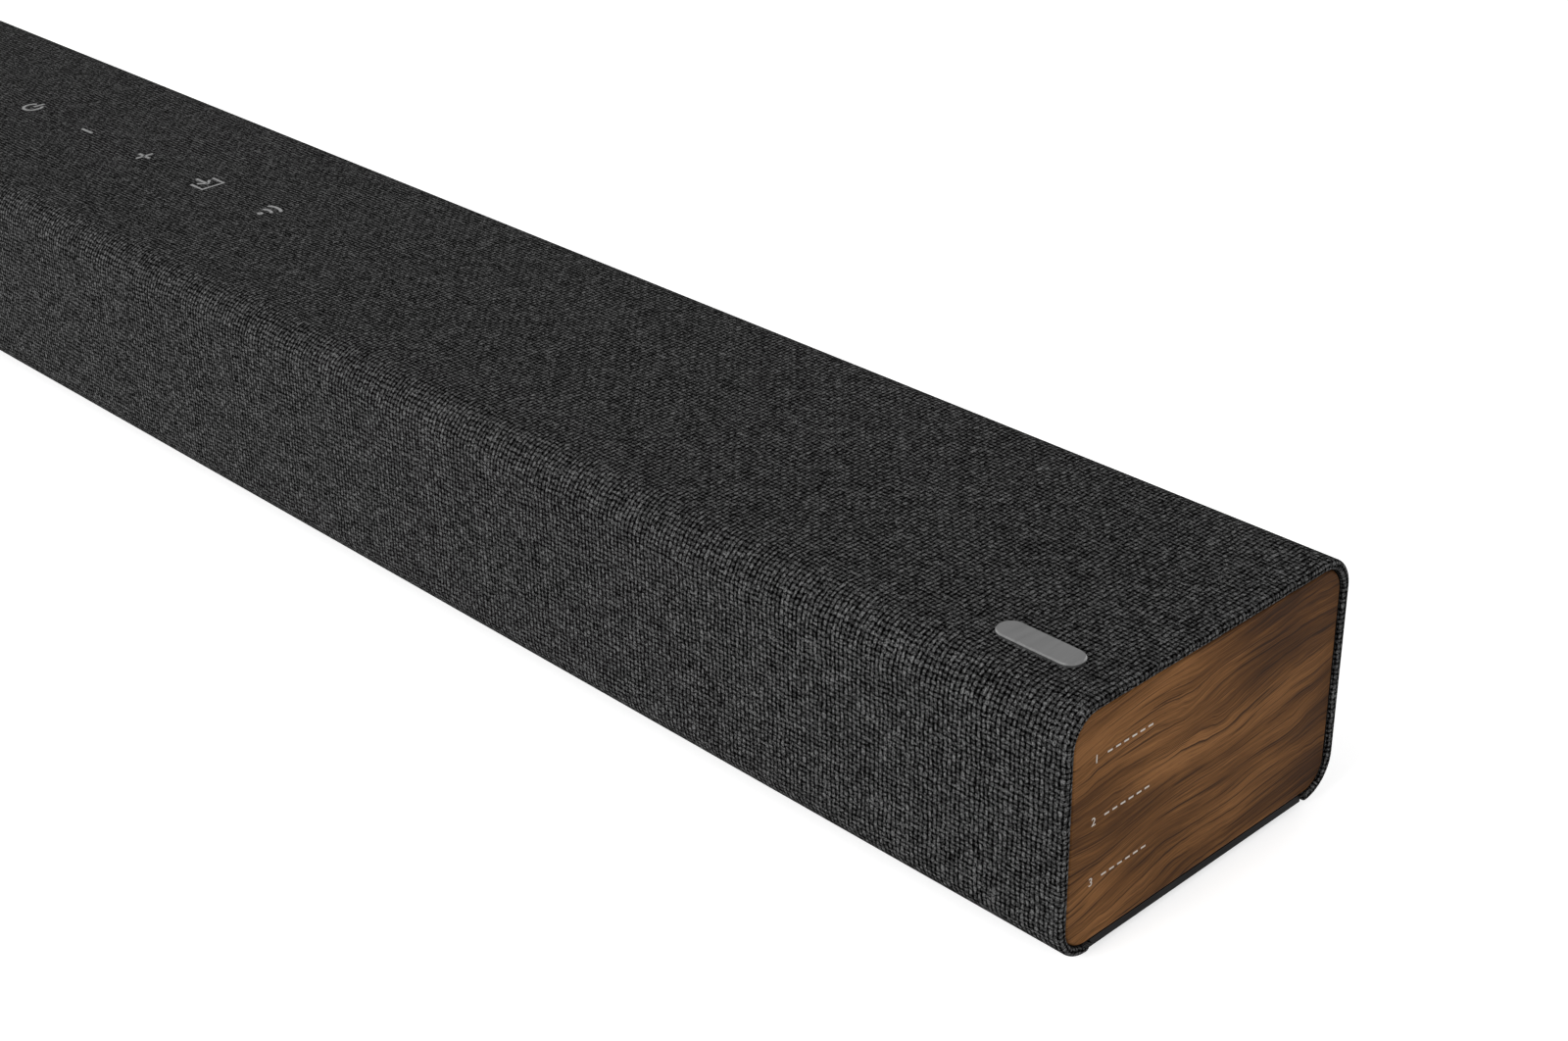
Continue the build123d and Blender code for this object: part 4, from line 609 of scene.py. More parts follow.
def circle(radius, z, segments):
    """Points round the Z axis."""
    angles = [2 * math.pi * step / segments for step in range(segments)]
    return [(radius * math.cos(angle), radius * math.sin(angle), z) for angle in angles]


def turned(work, profile, segments):
    """Closed turned solid about Z, from a profile of radii and heights."""
    return skin(work, [circle(radius, z, segments) for radius, z in profile])


def exact(corner):
    """A corner's three places, rounded to the micrometre."""
    return [round(place, MICROMETRE_DIGITS) for place in corner]


# Cloth sleeve, which fills the box of the CAD cover and is cut out round the connector panel
COVER_LOW, COVER_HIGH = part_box("fabric_cover")
HALF_LENGTH, HALF_DEPTH, BODY_HIGH = exact(COVER_HIGH)
BODY_LOW = exact(COVER_LOW)[2]
PANEL_LOW, PANEL_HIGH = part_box("connector_panel")
BODY_RADIUS = 9.5 * MM
SHELL_WALL = 2.5 * MM
LIP_WALL = 2.0 * MM
LIP_EDGE = 38.0 * MM
LIP_TUCK = 0.1 * MM
LIP_FADE = 1.05 * SHELL_WALL
CLOTH = 0.85 * MM
ROLL = 0.9 * MM
ROLL_FLAT = SHELL_WALL - 2 * ROLL
STRAIGHT = HALF_LENGTH - ROLL
TOP_HALF = HALF_DEPTH - BODY_RADIUS
SIDE_LOW = BODY_LOW + BODY_RADIUS
SIDE_HIGH = BODY_HIGH - BODY_RADIUS
QUARTER = BODY_RADIUS * math.pi / 2
LENGTH_STEPS = 60
ROLL_STEPS = 8
LIP_STEPS = 5
CORNER_STEPS = 14
SIDE_STEPS = 6
TOP_STEPS = 5
BAY_FIT = 0.3 * MM
PANEL_CORNER = 8.0 * MM
BAY_RADIUS = PANEL_CORNER + BAY_FIT
BAY_STEPS = 8
BAY_CUT_IN = 8.0 * MM
BAY_CUT_OUT = 12.0 * MM
LEAST = 1e-9


def half_section(inset):
    """The back half of the sleeve's section at an inset, from its lip to the middle of the top."""
    radius = BODY_RADIUS - inset
    side = HALF_DEPTH - inset
    top = BODY_HIGH - inset
    low_centre = (TOP_HALF, BODY_LOW + inset * LIP_WALL / SHELL_WALL + radius)
    high_centre = (TOP_HALF, top - radius)
    lip = ROLL * (1.0 - inset / LIP_FADE)
    reach = max(LIP_EDGE + lip - TOP_HALF, 0.0)
    start = math.degrees(math.asin(min(reach / radius, 1.0))) - 90.0
    lip_low = low_centre[1] + radius * math.sin(math.radians(start))
    points = [(LIP_EDGE, BODY_LOW + LIP_WALL + LIP_TUCK)]
    points += arc((LIP_EDGE + lip, lip_low + lip), lip, 180.0, 270.0, LIP_STEPS)
    points += arc(low_centre, radius, start, 0.0, CORNER_STEPS)[1:]
    points += between((side, low_centre[1]), (side, high_centre[1]), SIDE_STEPS)
    points += arc(high_centre, radius, 0.0, 90.0, CORNER_STEPS)
    points += between((TOP_HALF, top), (0.0, top), TOP_STEPS)
    points.append((0.0, top))
    return points


def section(inset):
    """The sleeve's whole section at an inset, from the front lip to the back lip."""
    back = half_section(inset)
    return [(-y, z) for y, z in back[:-1]] + back[::-1]


def end_path():
    """Place along the bar and inset of the sections that roll the cloth over its end and back inside."""
    angles = [math.radians(90.0 * step / ROLL_STEPS) for step in range(ROLL_STEPS + 1)]
    path = [(STRAIGHT + ROLL * math.sin(angle), ROLL * (1.0 - math.cos(angle))) for angle in angles]
    deep = ROLL + ROLL_FLAT
    path += [(STRAIGHT + ROLL * math.cos(angle), deep + ROLL * math.sin(angle)) for angle in angles]
    return path


def section_run(y, z):
    """Length along the sleeve's outer section from the middle of the top, positive to the front."""
    side = -1.0 if y > 0 else 1.0
    y = abs(y)
    if y <= TOP_HALF and z > SIDE_LOW:
        run = y
    elif z >= SIDE_HIGH:
        run = TOP_HALF + BODY_RADIUS * math.atan2(y - TOP_HALF, z - SIDE_HIGH)
    elif z >= SIDE_LOW:
        run = TOP_HALF + QUARTER + SIDE_HIGH - z
    elif y >= TOP_HALF:
        turn = math.atan2(SIDE_LOW - z, y - TOP_HALF)
        run = TOP_HALF + QUARTER + SIDE_HIGH - SIDE_LOW + BODY_RADIUS * turn
    else:
        run = TOP_HALF + 2 * QUARTER + SIDE_HIGH - SIDE_LOW + TOP_HALF - y + z - BODY_LOW
    return side * run


def section_depth(y, z):
    """How far a point lies inside the sleeve's outer face."""
    y = abs(y)
    if y > TOP_HALF and z > SIDE_HIGH:
        return BODY_RADIUS - math.hypot(y - TOP_HALF, z - SIDE_HIGH)
    if y > TOP_HALF and z < SIDE_LOW:
        return BODY_RADIUS - math.hypot(y - TOP_HALF, z - SIDE_LOW)
    return min(HALF_DEPTH - y, BODY_HIGH - z) if z > SIDE_LOW else z - BODY_LOW


def roll_run(over, depth):
    """Length of cloth over the end's roll, for a point past the straight at this depth inside the sleeve."""
    if depth <= ROLL:
        return ROLL * math.atan2(over, max(ROLL - depth, LEAST))
    if depth <= ROLL + ROLL_FLAT:
        return ROLL * math.pi / 2 + depth - ROLL
    turn = math.atan2(depth - ROLL - ROLL_FLAT, max(over, LEAST))
    return ROLL * math.pi / 2 + ROLL_FLAT + ROLL * turn


def cloth_place(x, y, z):
    """Where a point lies on the flat cloth: along the bar, and round it from the middle of the top."""
    over = abs(x) - STRAIGHT
    if over > 0.0:
        x = math.copysign(STRAIGHT + roll_run(over, section_depth(y, z)), x)
    return x, section_run(y, z), 0.0


def bay_cutter():
    """Block with rounded corners that cuts the bay's opening into the back."""
    left, right = PANEL_LOW.x - BAY_FIT + BAY_RADIUS, PANEL_HIGH.x + BAY_FIT - BAY_RADIUS
    low, high = PANEL_LOW.z - BAY_FIT + BAY_RADIUS, PANEL_HIGH.z + BAY_FIT - BAY_RADIUS
    corners = ((right, high, 0.0), (left, high, 90.0), (left, low, 180.0), (right, low, 270.0))
    outline = []
    for x, z, start in corners:
        outline += arc((x, z), BAY_RADIUS, start, start + 90.0, BAY_STEPS)
    work = bmesh.new()
    depths = (HALF_DEPTH - BAY_CUT_IN, HALF_DEPTH + BAY_CUT_OUT)
    skin(work, [[(x, y, z) for x, z in outline] for y in depths])
    return placed("bay_cut", closed_mesh("bay_cut", work))


def fabric_sleeve():
    """Cloth stretched round the shell, rolled over its ends and lips, and cut out round the connector bay."""
    ends = end_path()
    stations = [(-x, inset) for x, inset in reversed(ends)]
    stations += [(STRAIGHT * (2 * step / LENGTH_STEPS - 1), 0.0) for step in range(1, LENGTH_STEPS)]
    stations += ends
    work = bmesh.new()
    rows = [[work.verts.new((x, y, z)) for y, z in section(inset)] for x, inset in stations]
    for row, after in zip(rows, rows[1:]):
        for step in range(len(row) - 1):
            work.faces.new((row[step], after[step], after[step + 1], row[step + 1]))
    blank = placed("sleeve_blank", mesh_from("sleeve_blank", work))
    thick = blank.modifiers.new("thick", "SOLIDIFY")
    thick.thickness = CLOTH
    thick.offset = -1.0
    mesh = cut_away(blank, bay_cutter())
    places = mesh.attributes.new("cloth", "FLOAT_VECTOR", "POINT")
    for index, vertex in enumerate(mesh.vertices):
        places.data[index].vector = cloth_place(*vertex.co)
    smooth_by_angle(mesh, SOFT_CREASE)
    piece = add_piece("fabric_sleeve", mesh, "fabric")
    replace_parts(piece, "fabric_cover")
    return piece


sleeve = fabric_sleeve()


# Printed signs and rows
OPEN = False
CLOSED = True
SIGN_LINE = 0.95 * MM
SIGN_THICK = 0.05 * MM
SIGN_LIFT = 0.02 * MM
SIGN_STEPS = 24
DOT_STEPS = 12
ROW_START = -38.7 * MM
ROW_HEIGHTS = {"1": 49.2 * MM, "2": 34.0 * MM, "3": 19.0 * MM}
ROW_LIFT = 0.01 * MM
NUMBER_SIZE = 2.9 * MM
NUMBER_THICK = 0.02 * MM
NUMBER_DROP = 1.05 * MM
DASHES = 6
DASH_START = 4.2 * MM
DASH_PITCH = 2.6 * MM
DASH_LENGTH = 1.5 * MM
DASH_LINE = 0.4 * MM
DASH_THICK = 0.04 * MM


def stroke(work, points, width, thick, place, closed=OPEN):
    """Printed line through flat points, as a thin plate. place maps a flat point and a rise to the part."""
    last = len(points) - 1
    rings = []
    for index, point in enumerate(points):
        before = points[index - 1] if index or closed else point
        after = points[(index + 1) % len(points)] if index < last or closed else point
        run = (Vector(after) - Vector(before)).normalized()
        side = Vector((-run.y, run.x)) * width / 2
        left, right = Vector(point) + side, Vector(point) - side
        rings.append([place(left, 0.0), place(right, 0.0), place(right, thick), place(left, thick)])
    skin(work, rings, closed)


def signs():
    """Generic signs for the keys. Each line is its points in millimetres, and whether it closes."""
    bar = [(-3.0, 0.0), (3.0, 0.0)]
    upright = [(0.0, -3.0), (0.0, 3.0)]
    ring = arc((0.0, 0.0), 3.0, 125.0, 415.0, SIGN_STEPS)
    stem = [(0.0, 0.4), (0.0, 4.2)]
    shaft = [(-4.6, 0.0), (1.4, 0.0)]
    arrow = [(-0.8, 2.2), (1.6, 0.0), (-0.8, -2.2)]
    frame_line = [(-1.6, 3.8), (4.4, 3.8), (4.4, -3.8), (-1.6, -3.8)]
    root = (0.0, -3.0)
    dot = arc(root, 0.45, 0.0, 345.0, DOT_STEPS)
    near_wave = arc(root, 3.2, 48.0, 132.0, SIGN_STEPS)
    far_wave = arc(root, 6.0, 56.0, 124.0, SIGN_STEPS)
    return {
        "power": ((ring, OPEN), (stem, OPEN)),
        "volume_down": ((bar, OPEN),),
        "volume_up": ((bar, OPEN), (upright, OPEN)),
        "source": ((shaft, OPEN), (arrow, OPEN), (frame_line, OPEN)),
        "pairing": ((dot, CLOSED), (near_wave, OPEN), (far_wave, OPEN)),
    }


def printed_signs():
    """A sign on the cloth over each key."""
    top = BODY_HIGH + SIGN_LIFT
    for name, lines in signs().items():
        low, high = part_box(f"key_{name}")
        middle = (low + high) / 2
        work = bmesh.new()
        for points, closed in lines:
            stroke(
                work,
                [(x * MM, y * MM) for x, y in points],
                SIGN_LINE,
                SIGN_THICK,
                lambda flat, rise: (middle.x + flat.x, middle.y + flat.y, top + rise),
                closed,
            )
        add_piece(f"sign_{name}", closed_mesh(f"sign_{name}", work), "cloth_print")


def printed_number(text, face, height):
    """Mesh of a number that stands upright on the right end panel's face."""
    curve = bpy.data.curves.new("number", "FONT")
    curve.body = text
    curve.size = NUMBER_SIZE
    curve.extrude = NUMBER_THICK
    mesh = baked(placed("number", curve))
    upright = Matrix(((0, 0, 1), (1, 0, 0), (0, 1, 0))).to_4x4()
    mesh.transform(Matrix.Translation((face + NUMBER_THICK, ROW_START, height - NUMBER_DROP)) @ upright)
    return mesh


def printed_rows():
    """Plain numbers, each with a row of dashes, printed on the right end panel."""
    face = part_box("end_panel_right")[1].x + ROW_LIFT
    for number, height in ROW_HEIGHTS.items():
        work = bmesh.new()
        for step in range(DASHES):
            left = ROW_START + DASH_START + DASH_PITCH * step
            stroke(
                work,
                [(left, height), (left + DASH_LENGTH, height)],
                DASH_LINE,
                DASH_THICK,
                lambda flat, rise: (face + rise, flat.x, flat.y),
            )
        bmesh.ops.recalc_face_normals(work, faces=work.faces[:])
        work.from_mesh(printed_number(number, face, height))
        add_piece(f"number_{number}", mesh_from(f"number_{number}", work), "print")


printed_signs()
printed_rows()


# Small fasteners, which take the place of the plain CAD screws and inserts. Shares are of the CAD sizes.
SCREW_NODES = ("tray_screws", "panel_screws", "key_screws", "driver_screws", "board_screws")
HEAD_SEGMENTS = 24
SHANK_SEGMENTS = 12
HEAD_SHARE = 0.98
HEAD_PROFILE = ((0.5, 0.0), (0.74, 0.05), (0.9, 0.2), (0.98, 0.42), (1.0, 0.66), (0.98, 0.98))
RIM_SHARE = 0.99
CROSS_REACH = 0.62
CROSS_HALF = 0.15
CROSS_ENDS = ((-0.2, 1.0), (0.7, 0.55))
CORE_SHARE = 0.72
CORE_START = 0.9
POINT_LENGTH = 1.5
POINT_RADIUS = 0.3
RIDGE_ROOT = 0.95
RIDGE_CREST = 0.95
RIDGE_HALF = 0.3
RIDGE_LEAST = 0.1
RUN_OUT_STEPS = 3.0
SCREW_PITCH = 1.1 * MM
SIZE_DIGITS = 2
INSERT_PITCH = 0.7 * MM
INSERT_ROOT = 2.0 * MM
INSERT_EDGE = 0.3 * MM
INSERT_RIDGE_ROOT = 1.01
INSERT_SEGMENTS = 2 * HEAD_SEGMENTS
KNURL_SHARE = 0.95


def screw_measures(points):
    """Place and turn of a CAD screw, from its head along its shank, then its radii and lengths."""
    low, high = corners_of(points)
    size = high - low
    middle = (low + high) / 2
    axis = max(range(3), key=lambda i: abs(2 * size[i] - size[i - 1] - size[i - 2]))
    radii = []
    for point in points:
        off = point - middle
        off[axis] = 0.0
        radii.append(off.length)
    rim = RIM_SHARE * max(radii)
    head = [point[axis] for point, radius in zip(points, radii) if radius > rim]
    forward = min(head) - low[axis] < high[axis] - max(head)
    place = middle.copy()
    place[axis] = low[axis] if forward else high[axis]
    direction = Vector((0.0, 0.0, 0.0))
    direction[axis] = 1.0 if forward else -1.0
    turn = direction.to_track_quat("Z", "Y").to_matrix().to_4x4()
    sizes = (max(radii), max(head) - min(head), min(radii), size[axis])
    return Matrix.Translation(place) @ turn, sizes


def thread(work, start, end, pitch, root, crest, segments):
    """Closed helical ridge about Z, which runs out at both ends."""
    steps = int((end - start - pitch) / pitch * segments)
    rings = []
    for step in range(steps + 1):
        angle = 2 * math.pi * step / segments
        middle = start + pitch / 2 + pitch * step / segments
        fade = min(1.0, step / RUN_OUT_STEPS, (steps - step) / RUN_OUT_STEPS)
        tip = root + (crest - root) * max(fade, RIDGE_LEAST)
        corners = ((root, middle - RIDGE_HALF * pitch), (tip, middle), (root, middle + RIDGE_HALF * pitch))
        rings.append([(radius * math.cos(angle), radius * math.sin(angle), z) for radius, z in corners])
    return skin(work, rings)


def cross_cutter(radius, height):
    """Tapered cross that cuts the drive recess into a screw's head."""
    work = bmesh.new()
    for long_x in (True, False):
        rings = []
        for depth, taper in CROSS_ENDS:
            reach, half = CROSS_REACH * radius * taper, CROSS_HALF * radius
            x, y = (reach, half) if long_x else (half, reach)
            z = depth * height
            rings.append([(x, y, z), (-x, y, z), (-x, -y, z), (x, -y, z)])
        skin(work, rings)
    return placed("cross", closed_mesh("cross", work))


def screw_mesh(head_radius, head_height, shank_radius, length):
    """One screw along Z: a domed head with a cross recess, and a pointed shank with a wound thread."""
    radius = HEAD_SHARE * head_radius
    work = bmesh.new()
    turned(work, [(radius * share, head_height * z) for share, z in HEAD_PROFILE], HEAD_SEGMENTS)
    blank = placed("head", closed_mesh("head", work))
    head = cut_away(blank, cross_cutter(radius, head_height), crossed=True)
    core = CORE_SHARE * shank_radius
    tip = length - POINT_LENGTH * core
    work = bmesh.new()
    shank = ((core, CORE_START * head_height), (core, tip), (POINT_RADIUS * core, length))
    turned(work, shank, SHANK_SEGMENTS)
    crest = RIDGE_CREST * shank_radius
    thread(work, head_height, tip, SCREW_PITCH, RIDGE_ROOT * core, crest, SHANK_SEGMENTS)
    bmesh.ops.recalc_face_normals(work, faces=work.faces[:])
    work.from_mesh(head)
    return mesh_from("screw", work)


def screws():
    """One piece for each CAD node of screws. Screws of one size share a shape."""
    for node in SCREW_NODES:
        work = bmesh.new()
        shapes = {}
        for points in solids(NODES[node].data):
            place, sizes = screw_measures(points)
            key = tuple(round(size / MM, SIZE_DIGITS) for size in sizes)
            if key not in shapes:
                shapes[key] = screw_mesh(*sizes)
            one = shapes[key].copy()
            one.transform(place)
            work.from_mesh(one)
            bpy.data.meshes.remove(one)
        for shape in shapes.values():
            bpy.data.meshes.remove(shape)
        name = node.replace("_screws", "_screw_set")
        mesh = mesh_from(name, work)
        smooth_by_angle(mesh, HARD_CREASE)
        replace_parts(add_piece(name, mesh, "steel"), node)


def insert_rings(outer, low, high):
    """Rings of an insert about Z: its knurled outside, then its bore at the root of the thread."""
    rings = [circle(outer - INSERT_EDGE, low, INSERT_SEGMENTS)]
    for z in (low + INSERT_EDGE, high - INSERT_EDGE):
        ridges = circle(outer, z, INSERT_SEGMENTS)
        grooves = circle(KNURL_SHARE * outer, z, INSERT_SEGMENTS)
        rings.append([grooves[step] if step % 2 else ridges[step] for step in range(INSERT_SEGMENTS)])
    rings.append(circle(outer - INSERT_EDGE, high, INSERT_SEGMENTS))
    rings += [circle(INSERT_ROOT, z, INSERT_SEGMENTS) for z in (high, low)]
    return rings


def threaded_inserts():
    """Knurled brass inserts with a wound thread, whose crest keeps the CAD bore."""
    work = bmesh.new()
    for points in solids(NODES["bracket_inserts"].data):
        low, high = corners_of(points)
        middle = (low + high) / 2
        bore = min(math.hypot(point.x - middle.x, point.y - middle.y) for point in points)
        vertices = skin(work, insert_rings((high.x - low.x) / 2, low.z, high.z), closed=True)
        root = INSERT_RIDGE_ROOT * INSERT_ROOT
        vertices += thread(work, low.z, high.z, INSERT_PITCH, root, bore, HEAD_SEGMENTS)
        bmesh.ops.translate(work, verts=vertices, vec=(middle.x, middle.y, 0.0))
    mesh = closed_mesh("insert_set", work)
    smooth_by_angle(mesh, HARD_CREASE)
    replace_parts(add_piece("insert_set", mesh, "brass"), "bracket_inserts")


screws()
threaded_inserts()


# Contacts in the sockets. Each tongue wraps the CAD socket's own tongue.
TONGUE_ROOT = 2.0 * MM
TONGUE_SETBACK = 1.9 * MM
HDMI_HALF_WIDTH = 5.1 * MM
HDMI_HALF_HEIGHT = 0.7 * MM
HDMI_EDGE = 0.3 * MM
HDMI_UPPER_CONTACTS = 10
HDMI_LOWER_CONTACTS = 9
HDMI_PITCH = 1.0 * MM
HDMI_CONTACT = dict(half_width=0.28 * MM, half_height=0.05 * MM, edge=0.02 * MM)
HDMI_CONTACT_SHORT = 0.7 * MM
USB_RISE = 0.9 * MM
USB_HALF_WIDTH = 5.6 * MM
USB_HALF_HEIGHT = 1.0 * MM
USB_EDGE = 0.4 * MM
USB_CONTACT_PLACES = (-3.5 * MM, -1.0 * MM, 1.0 * MM, 3.5 * MM)
USB_CONTACT = dict(half_width=0.5 * MM, half_height=0.06 * MM, edge=0.03 * MM)
USB_CONTACT_SHORT = 0.9 * MM
PIN_SETBACK = 1.9 * MM
PIN_ROOT = 12.0 * MM
PIN_RADIUS = 1.25 * MM
PIN_HALF_SPACING = 4.3 * MM
PIN_TIP = ((0.45, 0.0), (0.8, 0.2), (1.0, 0.6))


def bar_along(work, x, z, back, front, half_width, half_height, edge):
    """Bar along Y about a middle line, with the edges of its mouth end bevelled."""
    rings = []
    for y, inset in ((back, 0.0), (front - edge, 0.0), (front, edge)):
        left, right = x - half_width + inset, x + half_width - inset
        low, high = z - half_height + inset, z + half_height - inset
        rings.append([(left, y, low), (right, y, low), (right, y, high), (left, y, high)])
    skin(work, rings)


def hdmi_contacts(tongues, contacts):
    """A tongue in each HDMI socket, with one row of contacts above and one below."""
    for points in solids(NODES["hdmi_sockets"].data):
        low, high = corners_of(points)
        middle = (low + high) / 2
        back, front = low.y + TONGUE_ROOT, high.y - TONGUE_SETBACK
        bar_along(tongues, middle.x, middle.z, back, front, HDMI_HALF_WIDTH, HDMI_HALF_HEIGHT, HDMI_EDGE)
        for count, side in ((HDMI_UPPER_CONTACTS, 1.0), (HDMI_LOWER_CONTACTS, -1.0)):
            z = middle.z + side * HDMI_HALF_HEIGHT
            for step in range(count):
                x = middle.x + (step - (count - 1) / 2) * HDMI_PITCH
                bar_along(contacts, x, z, back, front - HDMI_CONTACT_SHORT, **HDMI_CONTACT)


def usb_contacts(tongues, contacts):
    """The USB socket's tongue, with four contacts under it."""
    low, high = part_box("usb_socket")
    middle = (low + high) / 2
    back, front = low.y + TONGUE_ROOT, high.y - TONGUE_SETBACK
    z = middle.z + USB_RISE
    bar_along(tongues, middle.x, z, back, front, USB_HALF_WIDTH, USB_HALF_HEIGHT, USB_EDGE)
    for place in USB_CONTACT_PLACES:
        under = z - USB_HALF_HEIGHT
        bar_along(contacts, middle.x + place, under, back, front - USB_CONTACT_SHORT, **USB_CONTACT)


def socket_contacts():
    tongues = bmesh.new()
    contacts = bmesh.new()
    hdmi_contacts(tongues, contacts)
    usb_contacts(tongues, contacts)
    add_piece("socket_tongues", closed_mesh("socket_tongues", tongues), "socket_plastic")
    add_piece("socket_contacts", closed_mesh("socket_contacts", contacts), "brass")


def mains_pins():
    """Two round pins with blunt tips in the mains inlet."""
    low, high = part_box("mains_inlet")
    middle = (low + high) / 2
    tip = high.y - PIN_SETBACK
    profile = [(PIN_RADIUS * radius, PIN_RADIUS * z) for radius, z in PIN_TIP]
    profile.append((PIN_RADIUS, PIN_ROOT - PIN_SETBACK))
    work = bmesh.new()
    for shift in (-PIN_HALF_SPACING, PIN_HALF_SPACING):
        for vertex in turned(work, profile, HEAD_SEGMENTS):
            x, y, z = vertex.co
            vertex.co = (middle.x + shift + x, tip - z, middle.z + y)
    mesh = closed_mesh("mains_pins", work)
    smooth_by_angle(mesh, HARD_CREASE)
    add_piece("mains_pins", mesh, "socket_metal")


socket_contacts()
mains_pins()


# Soft suspension of the drivers, which runs from the chassis at its outer edge to the cone at its inner one
DRIVER_CONES = ("full_range_cone_left", "full_range_cone_right", "woofer_cone")
SUSPENSION_SEGMENTS = 48
SUSPENSION_STEPS = 12
SURROUND_LIP = 2.0 * MM
SURROUND_ROLL = 5.0 * MM
SURROUND_INNER = SURROUND_LIP + SURROUND_ROLL
SURROUND_GLUE = 0.8 * MM
SURROUND_WALL = 0.5 * MM
SPIDER_LEDGE = 2.0 * MM
SPIDER_WALL = 0.5 * MM
SPIDER_WAVE = 0.35 * MM
SPIDER_WAVES = 1.5


def driver_solid(node, cone):
    """The points of the one solid of a node that lies round a cone's middle."""
    low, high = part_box(cone)
    middle = (low.x + high.x) / 2
    groups = solids(NODES[node].data)
    return min(groups, key=lambda points: abs(sum(corner.x for corner in corners_of(points)) / 2 - middle))


def surround_profile(height):
    """Closed outline of the half-roll: how far in from the outer edge, and how far forward."""
    middle = SURROUND_LIP + SURROUND_ROLL / 2
    half = SURROUND_ROLL / 2
    glued = SURROUND_INNER + SURROUND_GLUE
    angles = [math.pi * step / SUSPENSION_STEPS for step in range(SUSPENSION_STEPS + 1)]
    rise = height - SURROUND_WALL
    outline = [(0.0, SURROUND_WALL)]
    outline += [(middle - half * math.cos(turn), SURROUND_WALL + rise * math.sin(turn)) for turn in angles]
    outline += [(glued, SURROUND_WALL), (glued, 0.0)]
    hollow = half - SURROUND_WALL
    outline += [(middle + hollow * math.cos(turn), rise * math.sin(turn)) for turn in angles]
    outline.append((0.0, 0.0))
    return outline


def spider_profile(width):
    """Closed outline of the corrugated disc, from its flat rim to the coil."""
    front, back = [(0.0, SPIDER_WALL)], [(0.0, 0.0)]
    for step in range(SUSPENSION_STEPS + 1):
        share = step / SUSPENSION_STEPS
        wave = SPIDER_WAVE * math.sin(2 * math.pi * SPIDER_WAVES * share)
        inward = SPIDER_LEDGE + (width - SPIDER_LEDGE) * share
        front.append((inward, SPIDER_WALL + wave))
        back.append((inward, wave))
    return front + back[::-1]


def suspension(name, node, slot, corners, profile):
    """Ring with a profile, in a CAD solid's corners. It is made as a flat strip and then closed round the
    driver."""
    low, high = corners
    middle = (low + high) / 2
    radius = (high.z - low.z) / 2
    straight = (high.x - low.x) / 2 - radius
    work = bmesh.new()
    strip = [[(*point, station) for point in profile] for station in range(SUSPENSION_SEGMENTS)]
    skin(work, strip, closed=True)
    mesh = mesh_from(name, work)
    mesh.materials.append(MATERIALS[slot])
    piece = placed(name, mesh)
    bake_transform(piece)
    for vertex in mesh.vertices:
        inward, forward, station = vertex.co
        angle = 2 * math.pi * (station + 0.5) / SUSPENSION_SEGMENTS
        x = math.copysign(straight, math.cos(angle)) + (radius - inward) * math.cos(angle)
        z = (radius - inward) * math.sin(angle)
        vertex.co = (middle.x + x, high.y - forward, middle.z + z)
    smooth_by_angle(mesh, SOFT_CREASE)
    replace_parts(piece, node)


def surround(cone):
    corners = corners_of(driver_solid("driver_surrounds", cone))
    profile = surround_profile(corners[1].y - corners[0].y)
    suspension(
        f"{cone}_surround", "driver_surrounds", "rubber", corners, profile
    )


def spider(cone):
    points = driver_solid("driver_spiders", cone)
    corners = corners_of(points)
    middle = (corners[0] + corners[1]) / 2
    bore = min(math.hypot(point.x - middle.x, point.z - middle.z) for point in points)
    width = corners[1].x - middle.x - bore
    profile = spider_profile(width)
    suspension(
        f"{cone}_spider", "driver_spiders", "spider_cloth", corners, profile
    )


for driver_cone in DRIVER_CONES:
    surround(driver_cone)
    spider(driver_cone)


# Floor, light and camera. The camera is fitted to the photograph, with its focal length in photo pixels.
FLOOR_REACH = 12.0
FLOOR_DROP = 0.2 * MM
FLOOR_COLOUR = (0.82, 0.82, 0.82, 1.0)
GLOW_NEAR = 1.0
GLOW_FAR = 3.5
NEAR_GLOW = 0.62
FAR_GLOW = 0.86
SKY_ON_OBJECT = 0.22
SKY_SEEN = 1.0
SENSOR_WIDTH = 36.0
PHOTO_WIDTH = 1600.0
FOCAL_LENGTH = 2569.6
NEAREST_SEEN = 0.01
CAMERA_PLACE = Vector((0.7044, -0.3735, 0.3285))
CAMERA_FORWARD = Vector((-0.6349, 0.6119, -0.4718))
CAMERA_RIGHT = Vector((0.6995, 0.7145, -0.0147))
CAMERA_NUDGE = 0.4 * MM


def seen_or_mirrored(graph):
    """1 for a ray from the camera, a mirror or through glass, and 0 for light on the object."""
    path = graph.node("LightPath").outputs
    mirrored = graph.math("MAXIMUM", path["Is Glossy Ray"], path["Is Transmission Ray"])
    return graph.math("MAXIMUM", path["Is Camera Ray"], mirrored)


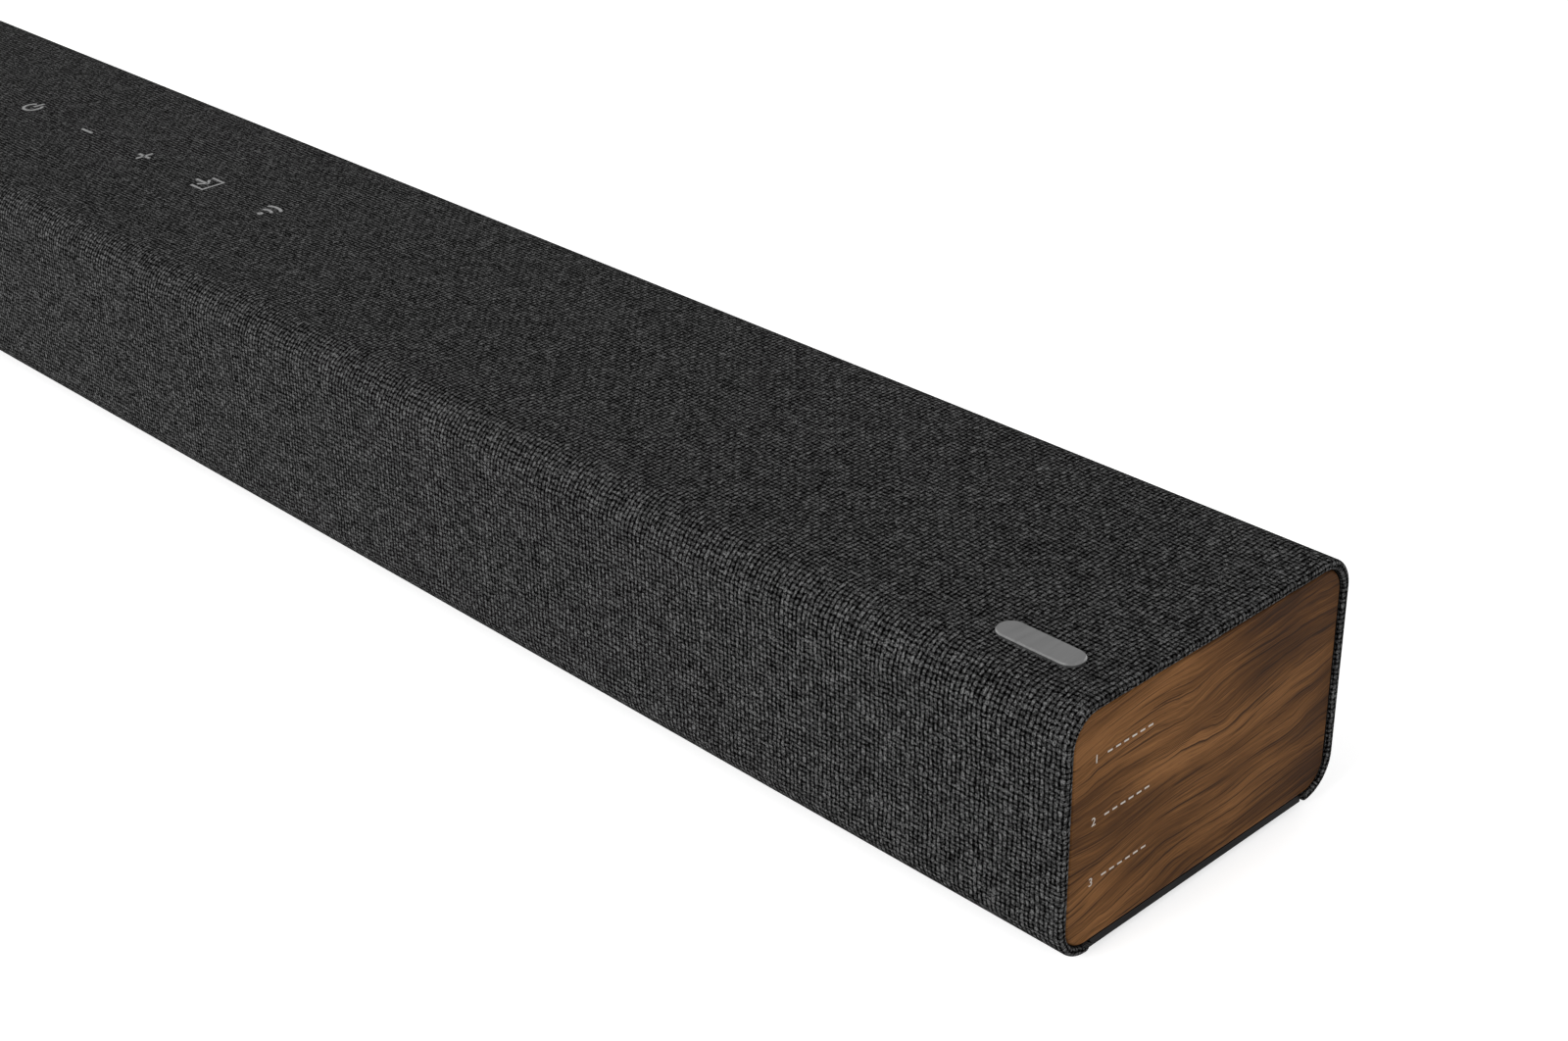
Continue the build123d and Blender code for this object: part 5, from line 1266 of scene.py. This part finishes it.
def floor():
    """Pale floor that keeps the object's shadow and glows only where it is seen."""
    material = bpy.data.materials.new("pale_floor")
    graph = Graph(material)
    away = graph.node("VectorMath", graph.object_place())
    away.operation = "LENGTH"
    level = graph.fit(away.outputs["Value"], GLOW_NEAR, GLOW_FAR, NEAR_GLOW, FAR_GLOW)
    glow = graph.node("Emission", WHITE, graph.times(seen_or_mirrored(graph), level))
    plain = graph.node("BsdfDiffuse", FLOOR_COLOUR)
    both = graph.node("AddShader", plain.outputs[0], glow.outputs[0])
    graph.node("OutputMaterial", both.outputs[0])
    mesh = bpy.data.meshes.new("floor")
    quarters = ((-1, -1), (1, -1), (1, 1), (-1, 1))
    corners = [(x * FLOOR_REACH, y * FLOOR_REACH, -FLOOR_DROP) for x, y in quarters]
    mesh.from_pydata(corners, [], [(0, 1, 2, 3)])
    mesh.materials.append(material)
    placed("floor", mesh)


def surroundings():
    """White surroundings, dimmed where they light the object."""
    world = bpy.data.worlds.new("studio")
    graph = Graph(world)
    dim = graph.node("Background", WHITE, SKY_ON_OBJECT)
    bright = graph.node("Background", WHITE, SKY_SEEN)
    both = graph.node("MixShader", seen_or_mirrored(graph), dim.outputs[0], bright.outputs[0])
    graph.node("OutputWorld", both.outputs[0])
    SCENE.world = world


def lamp(name, place, target, size, power):
    """Soft round lamp that faces its target."""
    light = bpy.data.lights.new(name, "AREA")
    light.shape = "DISK"
    light.size = size
    light.energy = power
    holder = placed(name, light)
    holder.location = place
    holder.rotation_euler = (Vector(target) - Vector(place)).to_track_quat("-Z", "Y").to_euler()


def camera():
    lens = bpy.data.cameras.new("camera")
    lens.sensor_fit = "HORIZONTAL"
    lens.sensor_width = SENSOR_WIDTH
    lens.lens = SENSOR_WIDTH * FOCAL_LENGTH / PHOTO_WIDTH
    lens.clip_start = NEAREST_SEEN
    forward = CAMERA_FORWARD.normalized()
    right = (CAMERA_RIGHT - forward * CAMERA_RIGHT.dot(forward)).normalized()
    up = right.cross(forward)
    place = CAMERA_PLACE + CAMERA_NUDGE * (up - right)
    holder = placed("camera", lens)
    rows = [[right[i], up[i], -forward[i], place[i]] for i in range(3)]
    holder.matrix_world = Matrix(rows + [[0.0, 0.0, 0.0, 1.0]])
    SCENE.camera = holder


floor()
surroundings()
lamp("key", place=(0.0, -2.6, 1.25), target=(0.1, 0.0, 0.0), size=1.8, power=59.0)
lamp("side", place=(2.9, -0.3, 0.75), target=(0.4, 0.0, 0.0), size=1.6, power=29.0)
lamp("top", place=(-0.2, -0.7, 2.5), target=(0.1, 0.0, 0.0), size=2.2, power=5.0)
lamp("back", place=(0.2, 2.8, 1.0), target=(0.0, 0.0, 0.0), size=2.0, power=32.0)
lamp("left", place=(-2.9, -0.6, 0.9), target=(-0.4, 0.0, 0.0), size=1.6, power=32.0)
camera()
